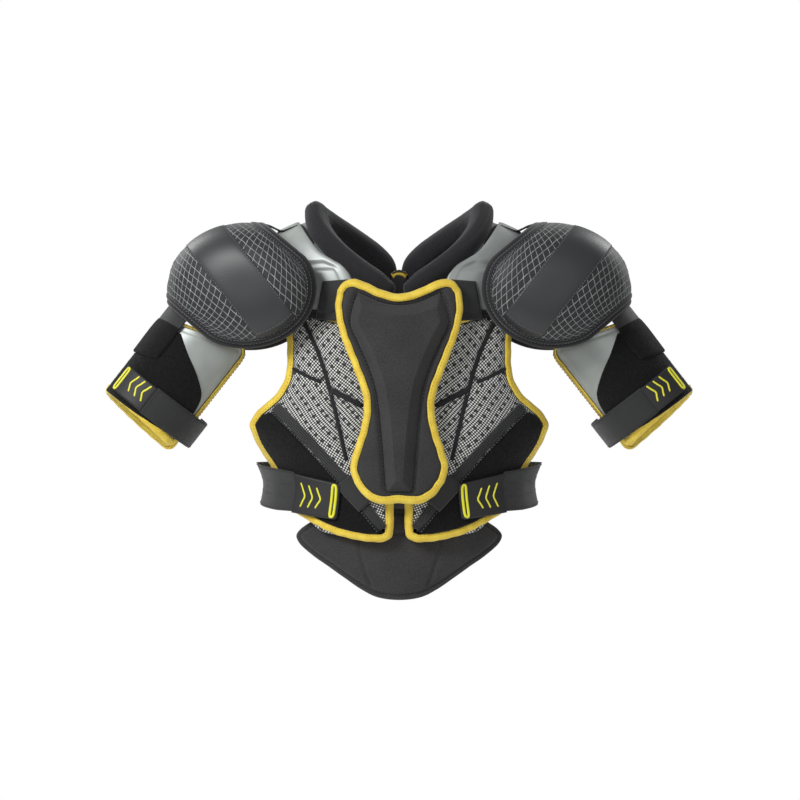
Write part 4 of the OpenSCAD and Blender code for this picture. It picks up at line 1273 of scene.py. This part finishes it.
def cap_grid(lines, rim, inset, shift=lambda along: 0):
    """Lines over a cap from its front edge to its back edge. shift slides them as they rise."""
    w = 1 - (1 - np.linspace(0, 1, cap_steps)) ** 2.6
    out = []
    for c in lines:
        low = 0.0
        for _ in range(12):
            low = -math.sqrt(max(rim * rim - (c + shift(low)) ** 2, 1e-4))
        high = math.sqrt(max(1 - (c + shift(0.8)) ** 2, 1e-4))
        along = low + (high - low) * w
        front = cap_point(c + shift(along), along, 1, inset)
        back = cap_point(c + shift(along), along, -1, inset)
        out.append(np.concatenate([front, back[-2::-1]]))
    return np.stack(out, axis=1)


# Coated fabric for the plain stripe, and a net of silver threads woven into black fabric. The
# threads run 8.2 mm apart in two directions that cross at 56 degrees, and are thin and slightly shiny.
stripe_fabric, tree, shader = material("grey_coated_fabric", "#303133", 0.46, specular=0.5)
place = add(tree, "TexCoord")
grain = noise(tree, place.outputs["Object"], 1.2, 2.0)
bump_from(tree, shader, grain.outputs["Fac"], 0.15)
net_fabric, tree, shader = material("silver_net_on_black", "#1b1c1d", 0.6, sheen=0.15, specular=0.4)
weave_map = add(tree, "UVMap", {"uv_map": "cloth"})
strands = []
for turn_by in (32, -92):
    turned = add(tree, "Mapping", None, {"Vector": weave_map.outputs["UV"],
                                         "Rotation": (0, 0, math.radians(turn_by)),
                                         "Scale": (per_metre(8.2),) * 3})
    wander = noise(tree, weave_map.outputs["UV"], 24, 1.0)
    across = add(tree, "SeparateXYZ", None, {"Vector": turned})
    moved = calculate(tree, "MULTIPLY_ADD", wander.outputs["Fac"], 0.35, across.outputs["Y"])
    cell = calculate(tree, "FRACT", moved)
    middle = calculate(tree, "SUBTRACT", cell, 0.5)
    far = calculate(tree, "ABSOLUTE", middle)
    strands.append(add(tree, "MapRange", {"interpolation_type": "SMOOTHSTEP"}, {
        "Value": far.outputs["Value"], "From Min": 0.062, "From Max": 0.026}).outputs["Result"])
net = calculate(tree, "MAXIMUM", strands[0], strands[1])
weft = add(tree, "TexWave", {"bands_direction": "Y"}, {
    "Vector": weave_map.outputs["UV"], "Scale": rib_scale(1.2), "Distortion": 0.5})
ground = add(tree, "MixRGB", None, {"Fac": weft.outputs["Fac"], "Color1": linear("#141516"),
                                    "Color2": linear("#2b2d2e")})
patchy = noise(tree, weave_map.outputs["UV"], 7, 3.0)
strength = add(tree, "MapRange", None, {"Value": patchy.outputs["Fac"], "From Min": 0.3, "From Max": 0.65,
                                       "To Min": 0.35, "To Max": 0.95})
shown = calculate(tree, "MULTIPLY", net, strength.outputs["Result"])
colour = add(tree, "MixRGB", None, {"Fac": shown, "Color1": ground, "Color2": linear("#b2b6b7")})
tree.links.new(colour.outputs["Color"], shader.inputs["Base Color"])
bump_from(tree, shader, net.outputs["Value"], 0.4)


def stripe_shift(along):
    return -0.074 + 0.206 * (along + 0.415)


def cap_rim_path(rim, edge, count):
    """The closed path round a cap's mouth: front edge, up one side and over, back edge, and up the other."""
    arc = np.linspace(-edge, edge, 60)
    low = np.sqrt(rim ** 2 - arc ** 2)
    side = -low[0] + (math.sqrt(1 - edge ** 2) + low[0]) * (1 - (1 - np.linspace(0, 1, 40)) ** 2.6)
    parts = [(arc, -low, 1), (np.full(39, edge), side[1:], 1), (np.full(39, edge), side[-2::-1], -1),
             (arc[::-1][1:], -low[::-1][1:], -1), (np.full(39, -edge), side[1:], -1),
             (np.full(38, -edge), side[-2:0:-1], 1)]
    c = np.concatenate([p[0] for p in parts])
    along = np.concatenate([p[1] for p in parts])
    face = np.concatenate([np.full(len(p[0]), p[2]) for p in parts])
    here = cap_point(c, along, face, 0)
    run = length_along(looped(here))
    at = np.linspace(0, run[-1], count, endpoint=False)
    closed = [np.append(k, k[0]) for k in (c, along, face)]
    before = np.clip(np.searchsorted(run, at, "right") - 1, 0, len(c) - 1)
    return [np.interp(at, run, k) for k in closed[:2]] + [closed[2][before]]


rim_count = 300
rim_steps = np.linspace(0, 1, 25)
rolls = -1.3 * np.abs(np.sin(2 * math.pi * rim_steps)) ** 0.6
rolls[rim_steps > 0.5] *= 1.25
rim_top = []
rim_under = []
for part, inset in zip(rim_steps, rolls):
    rim, edge = 0.762 + 0.118 * part, 0.737 + 0.113 * part
    c, along, face = cap_rim_path(rim, edge, rim_count)
    rim_top.append(cap_point(c, along, face, inset))
    rim_under.append(cap_point(c, along, face, 8.2))
rim_top, rim_under = np.stack(rim_top, 1), np.stack(rim_under, 1)
rim_top, rim_under = smooth_loop(rim_top, 2), smooth_loop(rim_under, 2)

cover_lines = np.linspace(-0.752, 0.752, 90)
cover = cap_grid(cover_lines, cover_rim, 0.0)
cover_under = cap_grid(cover_lines, cover_rim, 4.2)
stripe_lines = np.linspace(-0.292, 0.292, 34)
stripe = cap_grid(stripe_lines, shell_rim, -1.0, stripe_shift)
stripe_edge = 0.9 * np.abs(np.linspace(-1, 1, 34)) ** 10
stripe_foot = cap_grid(stripe_lines, shell_rim, 1.6, stripe_shift)
stripe = stripe - (stripe - stripe_foot) * (stripe_edge / 2.6)[None, :, None]
stripe_under = cap_grid(stripe_lines, shell_rim, 0.5, stripe_shift)
cap_seams = ([(looped(rim_top[:, k]), 3, 0.38) for k in (1, 12)]
             + [(stripe[3:-3, k], 2.8, 0.34) for k in (1, -2)]
             + [(stripe[k, 1:-1], 2.8, 0.34) for k in (1, -2)])
shell_lines = np.linspace(-0.72, 0.72, 40)
shell_top, shell_low, liner_top, liner_low = (
    cap_grid(shell_lines, shell_rim, k) for k in (4.7, 6.9, 7.3, 10.0))
quilted = (0.25 + 0.25 * np.cos(np.linspace(0, 14 * math.pi, 40)))[None, :, None]
liner_low = liner_low + (liner_top - liner_low) * quilted
for s_name, s in SIDES:
    body = f"cap_{s_name}"
    dome = layer(f"cap_cover_net_{s_name}", mirror(cover, s), mirror(cover_under, s))
    if s == 1:
        edges = [cover[[0, 1, -2, -1]].reshape(-1, 3), cover[:, [0, 1, -2, -1]].reshape(-1, 3),
                 stripe[::4, ::4].reshape(-1, 3)]
        puffed = swell(dome, 2.6, np.vstack(edges), reach=6, pressure=30)
    move_points(dome, puffed * [s, 1, 1])
    settle(dome, net_fabric, body, "cap_mesh", f"cap_cover_{s_name}", padded=0.9)
    band = layer(f"cap_stripe_{s_name}", mirror(stripe, s), mirror(stripe_under, s))
    settle(band, stripe_fabric, body, "cap_mesh")
    rim_roll = layer(f"cap_rim_roll_{s_name}", mirror(rim_top, s), mirror(rim_under, s), closed=True)
    settle(rim_roll, black_fabric, body, "cap_edge", f"cap_rim_{s_name}", padded=0.9)
    rows = []
    for line, length, radius in cap_seams:
        line = mirror(line, s)
        rows.append(stitch_row("row", line, line - [cap_x * s, 0, -cap_drop], pitch=4.2, length=length,
                               radius=radius))
    settle(join(f"cap_stitch_{s_name}", *rows), grey_thread, body, "cap_edge")
    shell = layer(f"cap_shell_sheet_{s_name}", mirror(shell_top, s), mirror(shell_low, s))
    settle(shell, black_plastic, body, "pe_shell", f"cap_shell_{s_name}")
    liner = layer(f"cap_liner_foam_{s_name}", mirror(liner_top, s), mirror(liner_low, s))
    settle(liner, black_fabric, body, "black_foam", f"cap_liner_{s_name}", padded=0.7)
    hinge_line = curve_through([(124, 18.4), (134, 14.6), (143, 11.8), (149, 14.0), (157, 17.8), (168, 20.6),
                                (176, 21.8)], 1.5)
    y = np.linspace(-21, 21, 22)
    grid = np.stack([np.repeat(hinge_line[:, 0][:, None], 22, 1), np.repeat(y[None], len(hinge_line), 0),
                     np.repeat(hinge_line[:, 1][:, None], 22, 1)], axis=2)
    top = grid + [0, 0, 3.1]
    top[:, [0, -1], 2] -= 0.8
    hinge = layer(f"cap_hinge_web_{s_name}", mirror(top, s), mirror(grid + [0, 0, 1.3], s))
    hinge_bend = ("root", body, (0.142 * s, 0, 0.017), (0.158 * s, 0, 0.021))
    settle(hinge, webbing, hinge_bend, "webbing", f"cap_webbing_{s_name}")

# ---------------------------------------------------------------- bicep guards
# Foam cuffs round the upper arm, faced in silver laminate and bound in yellow, open towards the
# body. Loop pile on the front takes the elastic strap's tab, and a black hanger ties it to the cap
# with webbing.
arm_top = np.array([195.0, 0, -67])
arm_tilt = math.radians(38)
arm_dir = np.array([math.sin(arm_tilt), 0, -math.cos(arm_tilt)])
arm_out = np.array([math.cos(arm_tilt), 0, math.sin(arm_tilt)])
guard_face = 59
round_mm = guard_face * math.pi / 180


def on_arm(p, off):
    """A flat point (mm round the arm from its outer side, mm down it) on a guard's face."""
    a = p[..., 0] / guard_face
    r = guard_face + off
    return (arm_top + arm_dir * p[..., 1][..., None] + arm_out * ((r + 1) * np.cos(a))[..., None]
            + np.array([0, -1.0, 0]) * ((r - 1) * np.sin(a))[..., None])


def turned(points):
    """Points given as (degrees round the arm, mm down it)."""
    return np.array(points, float) * [round_mm, 1]


guard_end = 147
guard_a = np.linspace(-guard_end, guard_end, 150)
guard_top_line = 55 + 20 * np.cos(np.radians(guard_a)) + np.where(
    guard_a < 0, 4 * np.sin(np.radians(-guard_a)), 0)
guard_low_line = 196 - 4 * np.cos(np.radians(guard_a)) - 6 * np.sin(np.radians(guard_a))
top_round = 20 * (1 - np.sqrt(1 - (1 - np.clip((guard_end - np.abs(guard_a)) / 20, 0, 1)) ** 2))
low_round = 9 * (1 - np.sqrt(1 - (1 - np.clip((guard_end - np.abs(guard_a)) / 12, 0, 1)) ** 2))
guard_v = np.linspace(0, 1, 75)[:, None]
guard_down = (guard_top_line + top_round) * (1 - guard_v) + (guard_low_line - low_round) * guard_v
guard_grid = np.stack([np.broadcast_to(guard_a * round_mm, guard_down.shape), guard_down], axis=-1)
guard_rim = rim_of(guard_grid)
guard_height, guard_under, gap = pad_height(guard_grid, -0.2, -1.2, -6.8, guard_rim, 12)
for line in ([(-20, 80), (-34, 120), (-30, 184)], [(-60, 86), (-76, 122), (-70, 188)],
             [(-100, 70), (-112, 120), (-108, 186)]):
    rib = gap_to(guard_grid, curve_through(turned(line), 3.0))
    guard_height -= 1.7 * bell(rib, 3.0) * step_up(gap - 9, 6)
guard_edge = even_loop(guard_rim, 3)
guard_edge = np.roll(guard_edge, -int(np.argmin(guard_edge[:, 0] + guard_edge[:, 1] * 0.4)), axis=0)
on_top = (guard_edge[:, 1] < 92) & (np.abs(guard_edge[:, 0]) < 134 * round_mm)
on_low = step_up(guard_edge[:, 1] - 178, 12)
guard_tape_w = np.where(on_top, 3.6, 4.8 + 5.7 * on_low)
pile_grid = fill(turned([(18, 84), (42, 80), (64, 78)]),
                 turned([(64, 78), (86, 92), (110, 106), (131, 123), (137, 142), (136, 182)]),
                 turned([(136, 182), (80, 187), (18, 189)][::-1]), turned([(18, 84), (18, 189)]), 90, 74)
pile_gap = gap_to(pile_grid, looped(rim_of(pile_grid)))
pile_height = 0.3 + 1.6 * step_up(pile_gap, 2.2) + 0.15 * rng.standard_normal(pile_grid.shape[:2])
hanger_grid = fill(turned([(14, 80), (38, 77), (60, 74)]), turned([(60, 74), (62, 96), (61, 119)]),
                   turned([(17, 131), (40, 126), (61, 119)]), turned([(14, 80), (15, 104), (17, 131)]), 40,
                   50)
hanger_gap = gap_to(hanger_grid, looped(rim_of(hanger_grid)))
tuck_grid = quad(*turned([(14, 30), (60, 26), (14, 88), (60, 82)]), 34, 26)
elastic_grid = quad(*turned([(83.6, 146), (213, 146), (83.6, 183), (213, 183)]), 130, 26)
elastic_across = np.abs(elastic_grid[..., 1] - 164.5) / 18.5
cuff_grid = quad(*turned([(34, 147), (83.8, 147), (34, 182), (83.8, 182)]), 50, 36)
arrow_marks = [[(59, 149), (55, 162), (59.2, 172)], [(68, 149), (64, 162), (68.4, 172)],
               [(77, 149), (73, 162), (77.3, 172)]]
plate_grid = quad(*turned([(-58, 92), (58, 92), (-58, 176), (58, 176)]), 60, 30)
guard_fill = tucked(guard_grid, 1.8)
hanger_height = 3.0 + 2.0 * step_up(hanger_gap, 2.4) * step_up(hanger_grid[..., 1] - 80, 20) + 0.5
for s_name, s in SIDES:
    body = f"bicep_{s_name}"

    def on(p, off):
        return mirror(on_arm(p, off), s)

    guard = layer(f"bicep_guard_foam_{s_name}", on(guard_fill, guard_height),
                  on(guard_fill, guard_under + 0.9))
    settle(guard, silver_film, body, "silver_foam", f"bicep_guard_{s_name}", padded=0.9)
    quilt = -7.0 + 0.7 * np.cos(guard_grid[..., 0] * 0.28) * step_up(gap - 6, 8)
    lining = layer(f"bicep_lining_{s_name}", on(guard_fill, guard_under + 0.85), on(guard_fill, quilt))
    settle(lining, black_fabric, body, "black_foam")
    bind(body, [f"bicep_binding_{s_name}"], f"bicep_tape_{s_name}", guard_edge, on, -0.6, -7.0,
         width=guard_tape_w)
    plate = layer(f"bicep_plate_sheet_{s_name}", on(plate_grid, -7.6), on(plate_grid, -9.4))
    settle(plate, black_plastic, body, "pe_shell", f"bicep_plate_{s_name}")
    patch = layer(f"bicep_loop_{s_name}", on(pile_grid, pile_height), on(pile_grid, -1.5))
    settle(patch, loop_pile, body, "loop_pile", f"bicep_loop_patch_{s_name}")
    hanger = layer(f"hanger_web_{s_name}", on(hanger_grid, hanger_height), on(hanger_grid, 2.2))
    settle(hanger, loop_pile, body, "loop_pile", f"hanger_strap_{s_name}")
    tuck = layer(f"hanger_tuck_{s_name}", on(tuck_grid, 3.2), on(tuck_grid, 1.4))
    tuck_bend = (f"cap_{s_name}", body, (0.246 * s, 0, -0.066), (0.27 * s, 0, -0.092))
    settle(tuck, webbing, tuck_bend, "webbing")
    elastic = layer(f"bicep_elastic_{s_name}", on(elastic_grid, 4.9 - 0.7 * elastic_across ** 8),
                    on(elastic_grid, 2.8))
    settle(elastic, webbing, body, "webbing", f"bicep_strap_{s_name}")
    rows = [border_stitches(elastic_grid, on, 4.8, 2.2),
            stitches_on(on, turned([(87, 148 + i) for i in range(34)]), 4.85, 0, pitch=3.4, length=2.3,
                        radius=0.28)]
    settle(join(f"bicep_stitch_{s_name}", *rows), black_thread, body, "webbing")
    tab_body = f"bicep_tab_{s_name}"
    cuff = layer(f"bicep_tab_rubber_{s_name}", on(cuff_grid, patch_height(cuff_grid, 2.8, 5.9, 2.4)),
                 on(cuff_grid, 2.8))
    settle(cuff, moulded_rubber, tab_body, "moulded_tab", f"bicep_tab_{s_name}")
    arrows = [arrow("arrow", on, [tuple(k) for k in turned(points)], 5.9, 2.1) for points in arrow_marks]
    settle(join(f"bicep_tab_arrows_{s_name}", *arrows), lime_rubber, tab_body, "moulded_tab")
    ring = slot_ring(f"bicep_slot_ring_{s_name}", on, tuple(turned([(40, 164.5)])[0]), 7.4, 33, 5.9, 1.4)
    settle(ring, lime_rubber, tab_body, "slot_frame", f"bicep_slot_frame_{s_name}")
    seam = border_stitches(cuff_grid, on, 5.8, 2.2)
    seam.name = f"bicep_tab_stitch_{s_name}"
    settle(seam, black_thread, tab_body, "moulded_tab")
